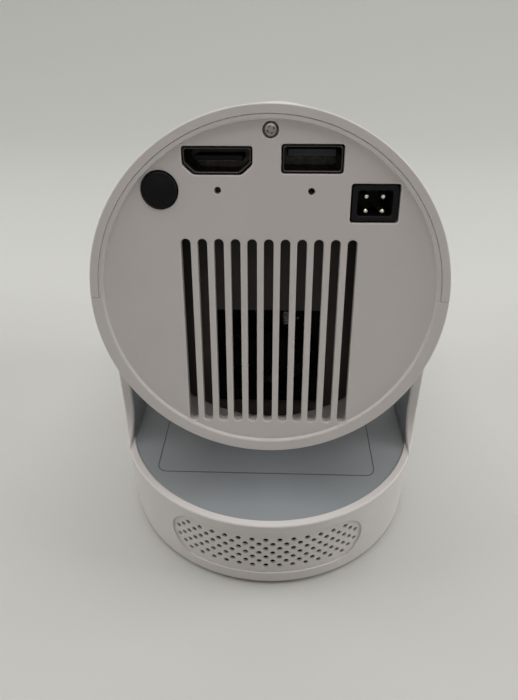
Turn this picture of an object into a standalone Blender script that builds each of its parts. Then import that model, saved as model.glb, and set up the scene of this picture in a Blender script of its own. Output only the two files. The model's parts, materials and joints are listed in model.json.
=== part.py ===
"""Small video projector: a round barrel that tilts in the yoke of a round stand.

Frame: metres, +Z up, origin at the centre of the stand's underside. The lens looks
towards -Y and the socket panel faces +Y. Left is +X, as seen from behind.
"""
import math

import bmesh
import bpy
from mathutils import Matrix, Vector

# Whole object
BARREL_RADIUS = 0.0430
BARREL_CLEARANCE = 0.0123
TILT = math.radians(9.2)
FIT_GAP = 0.0003
OVERRUN = 0.0010
ROUND_STEPS = 64
INNER_STEPS = 48
PART_STEPS = 24
SMALL_STEPS = 14
CORNER_STEPS = 2
OVAL_STEPS = 6
ARM_TOP_STEPS = 9
ARM_ROOT_STEPS = 6
SCREW_EDGE_SHARE = 0.8

# Stand: round base with two arms
BASE_TAPER = 0.0008
BASE_HEIGHT = 0.0262
BASE_FOOT_ROUND = 0.0012
BASE_WALL = 0.0020
RIM_WIDTH = 0.0016
RIM_ROUND = 0.0005
FLOOR_DROP = 0.0006
FLOOR_THICKNESS = 0.0018
ARM_SIDE_GAP = 0.0005
ARM_THICKNESS = 0.0037
ARM_SET_IN = 0.0001
ARM_HALF_WIDTH = 0.0085
ARM_ROOT_ROUND = 0.0110
ARM_ROOT_DEPTH = 0.0020
ARM_EDGE = 0.0009
LINER_THICKNESS = 0.0010
LINER_FOOT_HALF = 0.0125

# Stand: perforated sound window at the rear
GRILLE_HOLE_RADIUS = 0.00072
GRILLE_COLUMN_PITCH = 0.00195
GRILLE_ROW_PITCH = 0.00187
GRILLE_MIDDLE_SHARE = 0.5668
GRILLE_ROWS = 7
GRILLE_LONG_COLUMN = 14
GRILLE_HOLE_SIDES = 6
GRILLE_HEIGHT_SHARE = 0.3340
GRILLE_HALF_LENGTH = 0.0307
GRILLE_RECESS = 0.0005
GRILLE_STEPS = 28

# Stand: underside and speaker
PAD_INSET = 0.0025
PAD_THICKNESS = 0.0006
BASE_PLATE_THICKNESS = 0.0019
BASE_PLATE_LIP = 0.0004
BASE_BOSS_INSET = 0.0065
BASE_BOSS_RADIUS = 0.0030
BASE_BOSS_ANGLES = (40, 140, 220, 320)
BASE_SCREW_HEAD_RADIUS = 0.0024
BASE_SCREW_HEAD = 0.0012
BASE_SCREW_SHANK_RADIUS = 0.0011
BASE_SCREW_LENGTH = 0.0090
BASE_RIB_HALF = 0.0010
SPEAKER_HALF_LENGTH = 0.0200
SPEAKER_TOP_GAP = 0.0008
SPEAKER_FLANGE = 0.0014
SPEAKER_WALL_GAP = 0.00075
SPEAKER_BASKET_DEPTH = 0.0050
SPEAKER_EDGE = 0.0020
SPEAKER_MAGNET_INSET = 0.0020
SPEAKER_MAGNET_DEPTH = 0.0048
SPEAKER_END_SHARE = 0.9
SPEAKER_WELL_SHARE = 0.8
SPEAKER_CONE_DEPTH = 0.0030
SPEAKER_SPREAD_SHARES = (1.0, 0.70, 0.30, 0.15)
SPEAKER_DEPTH_SHARES = (0.0, 1.0, 1.0, 0.4)

# Barrel shells and rear panel
REAR_REACH = 0.0300
FRONT_REACH = 0.1000
LOWER_WALL = 0.0024
UPPER_WALL = 0.00175
REAR_EDGE_ROUND = 0.0010
FRONT_EDGE_ROUND = 0.0008
SEAM_Z = -0.0008
REAR_BAND = 0.00275
LIP_WIDTH = 0.0006
LIP_DROP = 0.0003
PANEL_RECESS = 0.0011
PANEL_THICKNESS = 0.0024
BAND_OVERLAP = 0.0012

# Rear panel: air slots
SLOT_COUNT = 11
SLOT_PITCH_SHARE = 0.0886
SLOT_WIDTH = 0.00221
SLOT_DC_GAP = 0.00355
SLOT_FOOT_SHARE = -0.8047
SLOT_END_STEPS = 4

# Rear panel: socket cut-outs, screw and indicator holes
HDMI_X_SHARE = 0.2691
HDMI_CORNER_INSET = 0.00086
HDMI_HALF_WIDTH = 0.00785
HDMI_HALF_HEIGHT = 0.00305
HDMI_BEVEL_SIDE = 0.00245
HDMI_BEVEL_RISE = 0.00220
USB_X_SHARE = -0.2205
USB_LIFT = 0.00061
USB_HALF_WIDTH = 0.00690
USB_HALF_HEIGHT = 0.00312
DC_CORNER_INSET = 0.00074
DC_USB_DROP = 0.00202
DC_HALF_WIDTH = 0.00550
DC_HALF_HEIGHT = 0.00432
BUTTON_RADIUS = 0.00430
BUTTON_INSET = 0.00088
BUTTON_HDMI_DROP = 0.00327
REAR_SCREW_X = -0.0002
REAR_SCREW_INSET = 0.00263
REAR_SCREW_HEAD_RADIUS = 0.00172
REAR_SCREW_HEAD = 0.0012
REAR_SCREW_SHANK_RADIUS = 0.0010
REAR_SCREW_LENGTH = 0.0085
REAR_SCREW_SINK = 0.0006
REAR_BOSS_RADIUS = 0.0028
REAR_BOSS_LENGTH = 0.0100
REAR_BOSS_WEB = 0.0008
PINHOLE_RADIUS = 0.00078
RECEIVER_DROP = 0.00634
STATUS_DROP = 0.00690

# Sockets
SOCKET_SINK = 0.0004
HDMI_DEPTH = 0.0120
USB_DEPTH = 0.0140
SOCKET_METAL = 0.0005
HDMI_TONGUE_HALF_WIDTH = 0.0056
HDMI_TONGUE_HALF_HEIGHT = 0.0006
HDMI_TONGUE_LIFT = 0.0003
HDMI_TONGUE_LENGTH = 0.0080
USB_TONGUE_HALF_WIDTH = 0.0055
USB_TONGUE_HALF_HEIGHT = 0.0009
USB_TONGUE_LIFT = 0.0010
USB_TONGUE_LENGTH = 0.0090
DC_DEPTH = 0.0125
DC_WALL_SIDE = 0.0013
DC_WALL_END = 0.0012
DC_BACK = 0.0015
DC_PIN_RADIUS = 0.00055
DC_PIN_LENGTH = 0.0050
DC_PIN_HALF_X = 0.0019
DC_PIN_HALF_Z = 0.00165

# Power button and its switch
BUTTON_PROUD = 0.0004
BUTTON_CROWN = 0.0006
BUTTON_FLANGE = 0.0010
BUTTON_FLANGE_LAP = 0.0011
BUTTON_STEM_RADIUS = 0.0016
BUTTON_STEM = 0.0025
BUTTON_TRAVEL = 0.0008
BUTTON_STROKE_GAP = 0.0002
BUTTON_SIDE_GAP = 0.0001
BUTTON_CROWN_SHARES = ((0.93, 0.50), (0.60, 0.85), (0.0, 1.0))
SWITCH_HALF = 0.0030
SWITCH_BODY = 0.0034
SWITCH_PLUNGER_RADIUS = 0.0017
SWITCH_PLUNGER = 0.0008
SWITCH_BOARD = 0.0012
SWITCH_BOARD_INNER = 0.0089
SWITCH_BOARD_OUTER = 0.0045
SWITCH_BOARD_DOWN = 0.0084
SWITCH_BOARD_UP = 0.0013
SWITCH_POST_RADIUS = 0.0013
SWITCH_POST_SIDE = 0.0073
SWITCH_POST_DROP = 0.0068

# Main board
BOARD_SOCKET_GAP = 0.00027
BOARD_THICKNESS = 0.0012
BOARD_SIDE_GAP = 0.0019
BOARD_PANEL_GAP = 0.0020
BOARD_FRONT_Y = -0.0180
BOARD_NOTCH_GAP = 0.0050
BOARD_NOTCH_Y = 0.0120
CHIP_HALF = 0.0075
CHIP_HEIGHT = 0.0055
CHIP_FINS = 5
CHIP_BASE = 0.0015
CHIP_Y = -0.0040
INDICATOR_RADIUS = 0.0015
INDICATOR_LENGTH = 0.0045
INDICATOR_FLANGE = 0.0019
INDICATOR_FLANGE_LENGTH = 0.0010
INDICATOR_DOME_SHARES = ((1.0, 0.80), (0.70, 0.95), (0.0, 1.0))
RECEIVER_HALF = 0.0020
RECEIVER_DEPTH = 0.0036

# Fan and baffle behind the air slots
BAFFLE_DEPTH = 0.0130
BAFFLE_THICKNESS = 0.0015
BAFFLE_OVER_SLOTS = 0.0017
MOUTH_HALF = 0.0140
FAN_HALF = 0.0150
FAN_SHELL_GAP = 0.0007
FAN_DEPTH = 0.0100
FAN_DUCT_RADIUS = 0.0139
FAN_HUB_RADIUS = 0.0068
FAN_HUB_PLATE = 0.0015
FAN_STRUT = 0.0016
FAN_CORNER = 0.0015
FAN_BLADES = 7
FAN_BLADE_LENGTH = 0.0060
FAN_BLADE_THICKNESS = 0.0008
FAN_BLADE_TIP_GAP = 0.0006
FAN_BLADE_PITCH = math.radians(38)
FAN_TWIST_SHARES = (1.15, 1.0, 0.85)
FAN_HUB_EDGE = 0.0007
FAN_STRUTS = 3
FAN_STRUT_FIRST = 30
FAN_HUB_LENGTH = 0.0075

# Heat sink and lamp
SINK_FRONT_SHARE = 0.22
SINK_BASE = 0.0040
SINK_FIN_LENGTH = 0.0170
SINK_HALF_WIDTH = 0.0245
SINK_HALF_HEIGHT = 0.0190
SINK_FINS = 12
SINK_FIN = 0.0012
LAMP_BOARD_HALF = 0.0175
LAMP_BOARD = 0.0016
LAMP_HALF = 0.0060
LAMP_THICKNESS = 0.0012

# Picture engine
ENGINE_HALF_HEIGHT = 0.0200
ENGINE_CORNER_GAP = 0.0037
ENGINE_WALL = 0.0018
ENGINE_LENGTH_SHARE = 0.318
ENGINE_PORT_RADIUS = 0.0130
CONDENSER_RADIUS = 0.0150
CONDENSER_EDGE = 0.0015
CONDENSER_BULGE = 0.0075
FRESNEL_THICKNESS = 0.0015
LCD_THICKNESS = 0.0020
REAR_FRESNEL_SHARE = 0.497
LCD_SHARE = 0.623
FRONT_FRESNEL_SHARE = 0.764
LENS_RADIUS_SHARES = (0.35, 0.7)
RAIL_X = 0.0180
RAIL_THICKNESS = 0.0016
RAIL_FRONT_GAP = 0.0010
RAIL_REAR_GAP = 0.0028

# Lens, focus ring and focus wheel
SLEEVE_PLATE = 0.0020
SLEEVE_WALL = 0.0016
SLEEVE_TIP_INSET = 0.0097
TUBE_CLEARANCE = 0.0004
TUBE_REAR_GAP = 0.0040
TUBE_FRONT_INSET = 0.0060
TUBE_WALL = 0.0035
TUBE_FRONT_LEDGE = 0.0020
TUBE_REAR_LEDGE = 0.0011
TUBE_FRONT_SEAT = 0.0080
TUBE_REAR_SEAT = 0.0060
FRONT_LENS_EDGE = 0.0022
FRONT_LENS_BULGE = 0.0026
REAR_LENS_EDGE = 0.0020
REAR_LENS_BULGE = 0.0018
RETAINER_LENGTH = 0.0012
RETAINER_WALL = 0.0013
TOOTH_MODULE = 0.0010
GEAR_SHARE = 0.5116
WHEEL_PROUD = 0.0010
RING_SPAN = 0.0050
TOOTH_RISE = 0.0009
TOOTH_SINK = 0.0011
TOOTH_TIP_HALF = 0.00040
TOOTH_ROOT_HALF = 0.00080
RING_WIDTH = 0.0050
RING_INSET = 0.0165
RING_BORE_GAP = 0.0004
WHEEL_WIDTH = 0.0060
AXLE_RADIUS = 0.0014
AXLE_EAR = 0.0014
AXLE_EAR_HALF = 0.0036
AXLE_EAR_GAP = 0.0008
WHEEL_SLOT_GAP = 0.0009
WHEEL_ANGLE = math.radians(-60)

# Front bezel
BEZEL_INSET = 0.0010
BEZEL_THICKNESS = 0.0040
BEZEL_DISH = 0.0059
BEZEL_THROAT_DEPTH = 0.0048
BEZEL_COLLAR = 0.0018
BEZEL_EDGE = 0.0006

# Air inlet under the barrel
INLET_COUNT = 7
INLET_STEP = math.radians(8)
INLET_END_STEPS = 3
INLET_HALF_WIDTH = 0.0011
INLET_HALF_LENGTH = 0.0130
INLET_Y = -0.0700

# Tilt hinge
PIN_RADIUS = 0.0024
PIN_FLANGE_RADIUS = 0.0060
PIN_FLANGE = 0.0008
PIN_TIP_PROUD = 0.0012
PIN_HOLE_GAP = 0.0004
BRACKET_INSET = 0.0010
BRACKET_THICKNESS = 0.0010
BRACKET_HALF_Y = 0.0080
BRACKET_HALF_Z = 0.0068
WASHER_RADIUS = 0.0050
WASHER_THICKNESS = 0.0008
WASHER_DISH = 0.00027
NUT_RADIUS = 0.0043
NUT_THICKNESS = 0.0028


# Sizes that follow from the ones above
PIVOT_HEIGHT = BASE_HEIGHT + BARREL_CLEARANCE + BARREL_RADIUS
ARM_INNER_X = BARREL_RADIUS + ARM_SIDE_GAP
ARM_OUTER_RADIUS = ARM_INNER_X + ARM_THICKNESS
ARM_FOOT_HALF = ARM_HALF_WIDTH + ARM_ROOT_ROUND
BASE_TOP_RADIUS = ARM_OUTER_RADIUS + ARM_SET_IN
BASE_FOOT_RADIUS = BASE_TOP_RADIUS - BASE_TAPER
FLOOR_TOP_Z = BASE_HEIGHT - FLOOR_DROP
LEDGE_Z = FLOOR_TOP_Z - FLOOR_THICKNESS - FIT_GAP
BASE_INNER_RADIUS = BASE_FOOT_RADIUS - BASE_WALL
RIM_INNER_RADIUS = BASE_TOP_RADIUS - RIM_WIDTH
PAD_RADIUS = BASE_INNER_RADIUS - PAD_INSET
BASE_BOSS_CIRCLE = BASE_INNER_RADIUS - BASE_BOSS_INSET
SPEAKER_FRONT_Y = math.sqrt(BASE_INNER_RADIUS ** 2 - SPEAKER_HALF_LENGTH ** 2) - SPEAKER_WALL_GAP
SHELL_FOOT_Z = PAD_THICKNESS + FIT_GAP
BASE_PLATE_LOW_Z = SHELL_FOOT_Z
BASE_PLATE_HIGH_Z = BASE_PLATE_LOW_Z + BASE_PLATE_THICKNESS
GRILLE_MIDDLE_Z = BASE_HEIGHT * GRILLE_MIDDLE_SHARE
GRILLE_HALF_HEIGHT = BASE_HEIGHT * GRILLE_HEIGHT_SHARE
SPEAKER_HALF_HEIGHT = (LEDGE_Z - BASE_PLATE_HIGH_Z - FIT_GAP - SPEAKER_TOP_GAP) / 2
SPEAKER_MAGNET_RADIUS = SPEAKER_HALF_HEIGHT - SPEAKER_MAGNET_INSET
POCKET_X = ARM_INNER_X + LINER_THICKNESS + FIT_GAP
PIN_FLANGE_X = POCKET_X + FIT_GAP
LOWER_INNER_RADIUS = BARREL_RADIUS - LOWER_WALL
UPPER_INNER_RADIUS = BARREL_RADIUS - UPPER_WALL
LIP_OUTER_RADIUS = UPPER_INNER_RADIUS - FIT_GAP
BAND_INNER_RADIUS = BARREL_RADIUS - REAR_BAND
PANEL_OUTER_Y = REAR_REACH - PANEL_RECESS
PANEL_INNER_Y = PANEL_OUTER_Y - PANEL_THICKNESS
BAFFLE_REAR_Y = PANEL_OUTER_Y - BAFFLE_DEPTH
BAFFLE_FRONT_Y = BAFFLE_REAR_Y - BAFFLE_THICKNESS
BEZEL_FACE_Y = -FRONT_REACH + BEZEL_INSET
SOCKET_MOUTH_Y = PANEL_OUTER_Y - SOCKET_SINK
SLOT_PITCH = BARREL_RADIUS * SLOT_PITCH_SHARE
SLOT_FOOT_Z = BARREL_RADIUS * SLOT_FOOT_SHARE
HDMI_X = BARREL_RADIUS * HDMI_X_SHARE
HDMI_CORNER_X = HDMI_X + HDMI_HALF_WIDTH
HDMI_TOP_Z = math.sqrt((BAND_INNER_RADIUS - HDMI_CORNER_INSET) ** 2 - HDMI_CORNER_X ** 2)
HDMI_CENTRE = (HDMI_X, HDMI_TOP_Z - HDMI_HALF_HEIGHT)
BOARD_TOP_Z = HDMI_CENTRE[1] - HDMI_HALF_HEIGHT - BOARD_SOCKET_GAP
USB_X = BARREL_RADIUS * USB_X_SHARE
USB_CENTRE = (USB_X, BOARD_TOP_Z + USB_LIFT + USB_HALF_HEIGHT)
DC_TOP_Z = BOARD_TOP_Z + USB_LIFT - DC_USB_DROP
DC_CORNER_X = -math.sqrt((BAND_INNER_RADIUS - DC_CORNER_INSET) ** 2 - DC_TOP_Z ** 2)
DC_CENTRE = (DC_CORNER_X + DC_HALF_WIDTH, DC_TOP_Z - DC_HALF_HEIGHT)
SLOT_TOP_Z = DC_CENTRE[1] - DC_HALF_HEIGHT - SLOT_DC_GAP
BAFFLE_TOP_Z = SLOT_TOP_Z + BAFFLE_OVER_SLOTS
BUTTON_CIRCLE = BAND_INNER_RADIUS - BUTTON_RADIUS - BUTTON_INSET
BUTTON_Z = HDMI_CENTRE[1] - HDMI_HALF_HEIGHT - BUTTON_HDMI_DROP
BUTTON_CENTRE = (math.sqrt(BUTTON_CIRCLE ** 2 - BUTTON_Z ** 2), BUTTON_Z)
REAR_SCREW_CENTRE = (REAR_SCREW_X, BAND_INNER_RADIUS - REAR_SCREW_INSET)
PINHOLE_CENTRES = ((HDMI_X, HDMI_CENTRE[1] - RECEIVER_DROP), (USB_X, USB_CENTRE[1] - STATUS_DROP))
SWITCH_BOARD_LOW = (BUTTON_CENTRE[0] - SWITCH_BOARD_INNER, BUTTON_CENTRE[1] - SWITCH_BOARD_DOWN)
SWITCH_BOARD_HIGH = (BUTTON_CENTRE[0] + SWITCH_BOARD_OUTER, BUTTON_CENTRE[1] + SWITCH_BOARD_UP)
SWITCH_POST_CENTRES = ((BUTTON_CENTRE[0] - SWITCH_POST_SIDE, BUTTON_CENTRE[1]),
                       (BUTTON_CENTRE[0], BUTTON_CENTRE[1] - SWITCH_POST_DROP))
BOARD_HALF_WIDTH = math.sqrt(UPPER_INNER_RADIUS ** 2 - BOARD_TOP_Z ** 2) - BOARD_SIDE_GAP
BOARD_REAR_Y = PANEL_INNER_Y - BOARD_PANEL_GAP
BOARD_NOTCH_X = BUTTON_CENTRE[0] - BOARD_NOTCH_GAP
FAN_Z = FAN_HALF - math.sqrt((LOWER_INNER_RADIUS - FAN_SHELL_GAP) ** 2 - FAN_HALF ** 2)
ENGINE_HALF_WIDTH = math.sqrt((LOWER_INNER_RADIUS - ENGINE_CORNER_GAP) ** 2 - ENGINE_HALF_HEIGHT ** 2)
SINK_FRONT_Y = -FRONT_REACH * SINK_FRONT_SHARE
ENGINE_REAR_Y = SINK_FRONT_Y - LAMP_BOARD - 2 * FIT_GAP
ENGINE_LENGTH = FRONT_REACH * ENGINE_LENGTH_SHARE
ENGINE_FRONT_Y = ENGINE_REAR_Y - ENGINE_LENGTH
REAR_FRESNEL_Y = ENGINE_REAR_Y - ENGINE_LENGTH * REAR_FRESNEL_SHARE
LCD_Y = ENGINE_REAR_Y - ENGINE_LENGTH * LCD_SHARE
FRONT_FRESNEL_Y = ENGINE_REAR_Y - ENGINE_LENGTH * FRONT_FRESNEL_SHARE
RAIL_FRONT_Y = ENGINE_FRONT_Y + RAIL_FRONT_GAP
RAIL_REAR_Y = ENGINE_REAR_Y - RAIL_REAR_GAP
GEAR_TEETH = round(2 * BARREL_RADIUS * GEAR_SHARE / TOOTH_MODULE)
GEAR_PITCH_CIRCLE = GEAR_TEETH * TOOTH_MODULE / 2
WHEEL_TEETH = round((BARREL_RADIUS + WHEEL_PROUD - GEAR_PITCH_CIRCLE) / TOOTH_MODULE)
WHEEL_PITCH_CIRCLE = WHEEL_TEETH * TOOTH_MODULE / 2
WHEEL_REACH = GEAR_PITCH_CIRCLE + WHEEL_PITCH_CIRCLE
WHEEL_X = WHEEL_REACH * math.sin(WHEEL_ANGLE)
WHEEL_Z = WHEEL_REACH * math.cos(WHEEL_ANGLE)
RING_Y = RING_INSET - FRONT_REACH
SLEEVE_BORE_RADIUS = GEAR_PITCH_CIRCLE - RING_SPAN
SLEEVE_TIP_Y = SLEEVE_TIP_INSET - FRONT_REACH
TUBE_REAR_Y = ENGINE_FRONT_Y - TUBE_REAR_GAP
TUBE_FRONT_Y = TUBE_FRONT_INSET - FRONT_REACH
TUBE_BORE_RADIUS = SLEEVE_BORE_RADIUS - TUBE_WALL
TUBE_FRONT_SEAT_RADIUS = TUBE_BORE_RADIUS + TUBE_FRONT_LEDGE
TUBE_REAR_SEAT_RADIUS = TUBE_BORE_RADIUS + TUBE_REAR_LEDGE
BEZEL_THROAT_RADIUS = SLEEVE_BORE_RADIUS + SLEEVE_WALL
BEZEL_MOUTH_RADIUS = BEZEL_THROAT_RADIUS + BEZEL_DISH
BRACKET_OUTER_X = LOWER_INNER_RADIUS - BRACKET_INSET
NUT_INNER_X = BRACKET_OUTER_X - BRACKET_THICKNESS - WASHER_THICKNESS - NUT_THICKNESS - 2 * FIT_GAP
PIN_TIP_X = NUT_INNER_X - PIN_TIP_PROUD
MATERIALS = {}


def clear_scene():
    for item in list(bpy.data.objects):
        bpy.data.objects.remove(item, do_unlink=True)


def material(name, colour, roughness, metallic=0.0, alpha=1.0):
    """One Principled material, made once and shared by its pieces."""
    if name not in MATERIALS:
        made = bpy.data.materials.new(name)
        made.use_nodes = True
        shader = made.node_tree.nodes["Principled BSDF"]
        shader.inputs["Base Color"].default_value = (*colour, 1.0)
        shader.inputs["Roughness"].default_value = roughness
        shader.inputs["Metallic"].default_value = metallic
        shader.inputs["Alpha"].default_value = alpha
        MATERIALS[name] = made
    return MATERIALS[name]


def white_plastic():
    return material("white_plastic", (0.62, 0.60, 0.57), 0.45)


def grey_plastic():
    return material("grey_plastic", (0.20, 0.22, 0.23), 0.50)


def black_plastic():
    return material("black_plastic", (0.015, 0.015, 0.017), 0.42)


def black_gloss():
    return material("black_gloss", (0.008, 0.008, 0.009), 0.12)


def dark_rubber():
    return material("dark_rubber", (0.03, 0.03, 0.03), 0.80)


def steel():
    return material("steel", (0.55, 0.55, 0.56), 0.30, 1.0)


def tin_plate():
    return material("tin_plate", (0.62, 0.61, 0.60), 0.28, 1.0)


def aluminium():
    return material("aluminium", (0.70, 0.71, 0.72), 0.38, 1.0)


def brass():
    return material("brass", (0.72, 0.58, 0.30), 0.30, 1.0)


def board_green():
    return material("board_green", (0.02, 0.12, 0.05), 0.45)


def lamp_yellow():
    return material("lamp_yellow", (0.80, 0.66, 0.12), 0.40)


def clear_glass():
    return material("clear_glass", (0.85, 0.90, 0.92), 0.03, 0.0, 0.35)


def panel_glass():
    return material("panel_glass", (0.05, 0.05, 0.07), 0.08)


def finish(bm, name, surface, parent=None, location=(0.0, 0.0, 0.0), sharp=30):
    """Turn a bmesh into a named object with smooth round faces and sharp edges."""
    bmesh.ops.remove_doubles(bm, verts=bm.verts, dist=FIT_GAP / ROUND_STEPS)
    bmesh.ops.recalc_face_normals(bm, faces=bm.faces)
    mesh = bpy.data.meshes.new(name)
    bm.to_mesh(mesh)
    bm.free()
    mesh.shade_smooth()
    mesh.set_sharp_from_angle(angle=math.radians(sharp))
    piece = bpy.data.objects.new(name, mesh)
    bpy.context.scene.collection.objects.link(piece)
    if surface is not None:
        mesh.materials.append(surface)
    piece.parent = parent
    piece.location = location
    return piece


def flat_round(vert):
    """True where every face round a point on the axis lies in one plane."""
    return all(abs(edge.other_vert(vert).co.z - vert.co.z) < FIT_GAP / ROUND_STEPS for edge in vert.link_edges)


def revolve(profile, steps=ROUND_STEPS, turned_about="Z"):
    """A closed outline of (radius, height) points turned once about Z or Y."""
    bm = bmesh.new()
    points = [bm.verts.new((radius, 0.0, height)) for radius, height in profile]
    for first, second in zip(points, points[1:] + points[:1]):
        if first.co.x > 0.0 or second.co.x > 0.0:
            bm.edges.new((first, second))
    bmesh.ops.spin(bm, geom=bm.verts[:] + bm.edges[:], cent=(0.0, 0.0, 0.0), axis=(0.0, 0.0, 1.0),
                   angle=2.0 * math.pi, steps=steps, use_merge=True, use_duplicate=False)
    bmesh.ops.remove_doubles(bm, verts=bm.verts, dist=FIT_GAP / ROUND_STEPS)
    hubs = [vert for vert in bm.verts if vert.co.xy.length < FIT_GAP and flat_round(vert)]
    bmesh.ops.dissolve_verts(bm, verts=hubs)
    if turned_about == "Y":
        bmesh.ops.rotate(bm, verts=bm.verts, cent=(0.0, 0.0, 0.0),
                         matrix=Matrix.Rotation(math.radians(-90), 3, "X"))
    return bm


def prism(outline, low, high, along="Z"):
    """A flat outline pushed from low to high along X, Y or Z."""
    order = {"X": lambda a, b, h: (h, a, b), "Y": lambda a, b, h: (a, h, b), "Z": lambda a, b, h: (a, b, h)}
    place = order[along]
    bm = bmesh.new()
    lower = [bm.verts.new(place(a, b, low)) for a, b in outline]
    upper = [bm.verts.new(place(a, b, high)) for a, b in outline]
    bm.faces.new(lower)
    bm.faces.new(upper)
    for here in range(len(outline)):
        after = (here + 1) % len(outline)
        bm.faces.new((lower[here], lower[after], upper[after], upper[here]))
    return bm


def merged(*parts):
    """Several separate bmeshes in one, for a cutter or a group that never touches itself."""
    whole = bmesh.new()
    for part in parts:
        mesh = bpy.data.meshes.new("part")
        part.to_mesh(mesh)
        part.free()
        whole.from_mesh(mesh)
        bpy.data.meshes.remove(mesh)
    return whole


def moved(bm, offset):
    bmesh.ops.translate(bm, verts=bm.verts, vec=offset)
    return bm


def turned(bm, angle, axis):
    bmesh.ops.rotate(bm, verts=bm.verts, cent=(0.0, 0.0, 0.0), matrix=Matrix.Rotation(angle, 3, axis))
    return bm


def rectangle(low, high):
    return [(low[0], low[1]), (high[0], low[1]), (high[0], high[1]), (low[0], high[1])]


def centred(half_a, half_b, centre=(0.0, 0.0)):
    return rectangle((centre[0] - half_a, centre[1] - half_b), (centre[0] + half_a, centre[1] + half_b))


def arc(centre, radius, start, end, steps):
    """Points on an arc, angles in degrees."""
    points = []
    for step in range(steps + 1):
        angle = math.radians(start + (end - start) * step / steps)
        points.append((centre[0] + radius * math.cos(angle), centre[1] + radius * math.sin(angle)))
    return points


def circle(radius, steps, centre=(0.0, 0.0)):
    return arc(centre, radius, 0, 360, steps)[:-1]


def stadium(half_width, low, high, steps):
    """An upright slot outline with round ends, between low and high."""
    top = arc((0.0, high - half_width), half_width, 0, 180, steps)
    foot = arc((0.0, low + half_width), half_width, 180, 360, steps)
    return top + foot


def rounded_rectangle(half_a, half_b, corner, steps=4, centre=(0.0, 0.0)):
    points = []
    for start, sign_a, sign_b in ((0, 1, 1), (90, -1, 1), (180, -1, -1), (270, 1, -1)):
        middle = (centre[0] + sign_a * (half_a - corner), centre[1] + sign_b * (half_b - corner))
        points += arc(middle, corner, start, start + 90, steps)
    return points


def boolean(target, bm, name, operation):
    """Cut, join or intersect a piece with a guide body that the finished model leaves out."""
    guide = finish(bm, name, None, target.parent, target.location)
    guide.hide_render = True
    guide.display_type = "WIRE"
    step = target.modifiers.new(name, "BOOLEAN")
    step.operation = operation
    step.solver = "EXACT"
    step.object = guide
    return guide


def cut(target, bm, name):
    return boolean(target, bm, name, "DIFFERENCE")


def join(target, bm, name):
    return boolean(target, bm, name, "UNION")


def base_outer_radius(height):
    """The base's wall leans out slightly from its foot to its rim."""
    share = height / BASE_HEIGHT
    return BASE_FOOT_RADIUS + (BASE_TOP_RADIUS - BASE_FOOT_RADIUS) * share


def base_profile():
    foot_middle = (base_outer_radius(BASE_FOOT_ROUND) - BASE_FOOT_ROUND, SHELL_FOOT_Z + BASE_FOOT_ROUND)
    rim_outer = (BASE_TOP_RADIUS - RIM_ROUND, BASE_HEIGHT - RIM_ROUND)
    rim_inner = (RIM_INNER_RADIUS + RIM_ROUND, BASE_HEIGHT - RIM_ROUND)
    outline = [(BASE_INNER_RADIUS, SHELL_FOOT_Z)]
    outline += arc(foot_middle, BASE_FOOT_ROUND, -90, 0, CORNER_STEPS)
    outline += arc(rim_outer, RIM_ROUND, 0, 90, CORNER_STEPS)
    outline += arc(rim_inner, RIM_ROUND, 90, 180, CORNER_STEPS)
    outline += [(RIM_INNER_RADIUS, LEDGE_Z), (BASE_INNER_RADIUS, LEDGE_Z)]
    return outline


def arm_outline(inset, foot_half, foot_z):
    """The arm's side view, in (Y, Z): round top, straight sides and a wide curved root."""
    half = ARM_HALF_WIDTH - inset
    root = ARM_ROOT_ROUND + inset
    middle_y = ARM_HALF_WIDTH + ARM_ROOT_ROUND
    middle_z = BASE_HEIGHT + ARM_ROOT_ROUND
    last = 180 + math.degrees(math.acos((middle_y - foot_half) / root))
    right = arc((0.0, PIVOT_HEIGHT), half, 90, 0, ARM_TOP_STEPS)
    right += arc((middle_y, middle_z), root, 180, last, ARM_ROOT_STEPS)
    right.append((right[-1][0], foot_z))
    left = [(-y, z) for y, z in reversed(right)]
    return right + left[:-1]


def grille_slab(half_length, half_height, middle_z, inner_drop, outer_drop):
    """A round-ended slab that follows the base wall, between two depths under its face."""
    bm = bmesh.new()
    columns = []
    straight = half_length - half_height
    for step in range(GRILLE_STEPS + 1):
        angle = math.pi * step / GRILLE_STEPS
        along = -half_length * math.cos(angle)
        over = max(0.0, abs(along) - straight)
        rise = math.sqrt(max(0.0, half_height ** 2 - over ** 2))
        column = []
        for height in (middle_z - rise, middle_z + rise):
            for drop in (inner_drop, outer_drop):
                radius = base_outer_radius(height) - drop
                turn = along / BASE_TOP_RADIUS
                column.append(bm.verts.new((radius * math.sin(turn), radius * math.cos(turn), height)))
        columns.append(column)
    for left, right in zip(columns, columns[1:]):
        for first, second in ((0, 1), (1, 3), (3, 2), (2, 0)):
            bm.faces.new((left[first], left[second], right[second], right[first]))
    for end in (columns[0], columns[-1]):
        bm.faces.new((end[0], end[1], end[3], end[2]))
    bmesh.ops.remove_doubles(bm, verts=bm.verts, dist=FIT_GAP / ROUND_STEPS)
    return bm


def grille_holes():
    """Staggered rows of small round holes, each drilled square to the base wall."""
    holes = []
    for row in range(GRILLE_ROWS):
        height = GRILLE_MIDDLE_Z + (GRILLE_ROWS // 2 - row) * GRILLE_ROW_PITCH
        outer_row = row in (0, GRILLE_ROWS - 1)
        first = -GRILLE_LONG_COLUMN + (2 if outer_row else row % 2)
        for column in range(first, -first + 1, 2):
            turn = column * GRILLE_COLUMN_PITCH / BASE_TOP_RADIUS
            hole = prism(circle(GRILLE_HOLE_RADIUS, GRILLE_HOLE_SIDES, (0.0, height)),
                         BASE_INNER_RADIUS - OVERRUN, BASE_TOP_RADIUS + OVERRUN, "Y")
            holes.append(turned(hole, -turn, "Z"))
    return merged(*holes)


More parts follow.
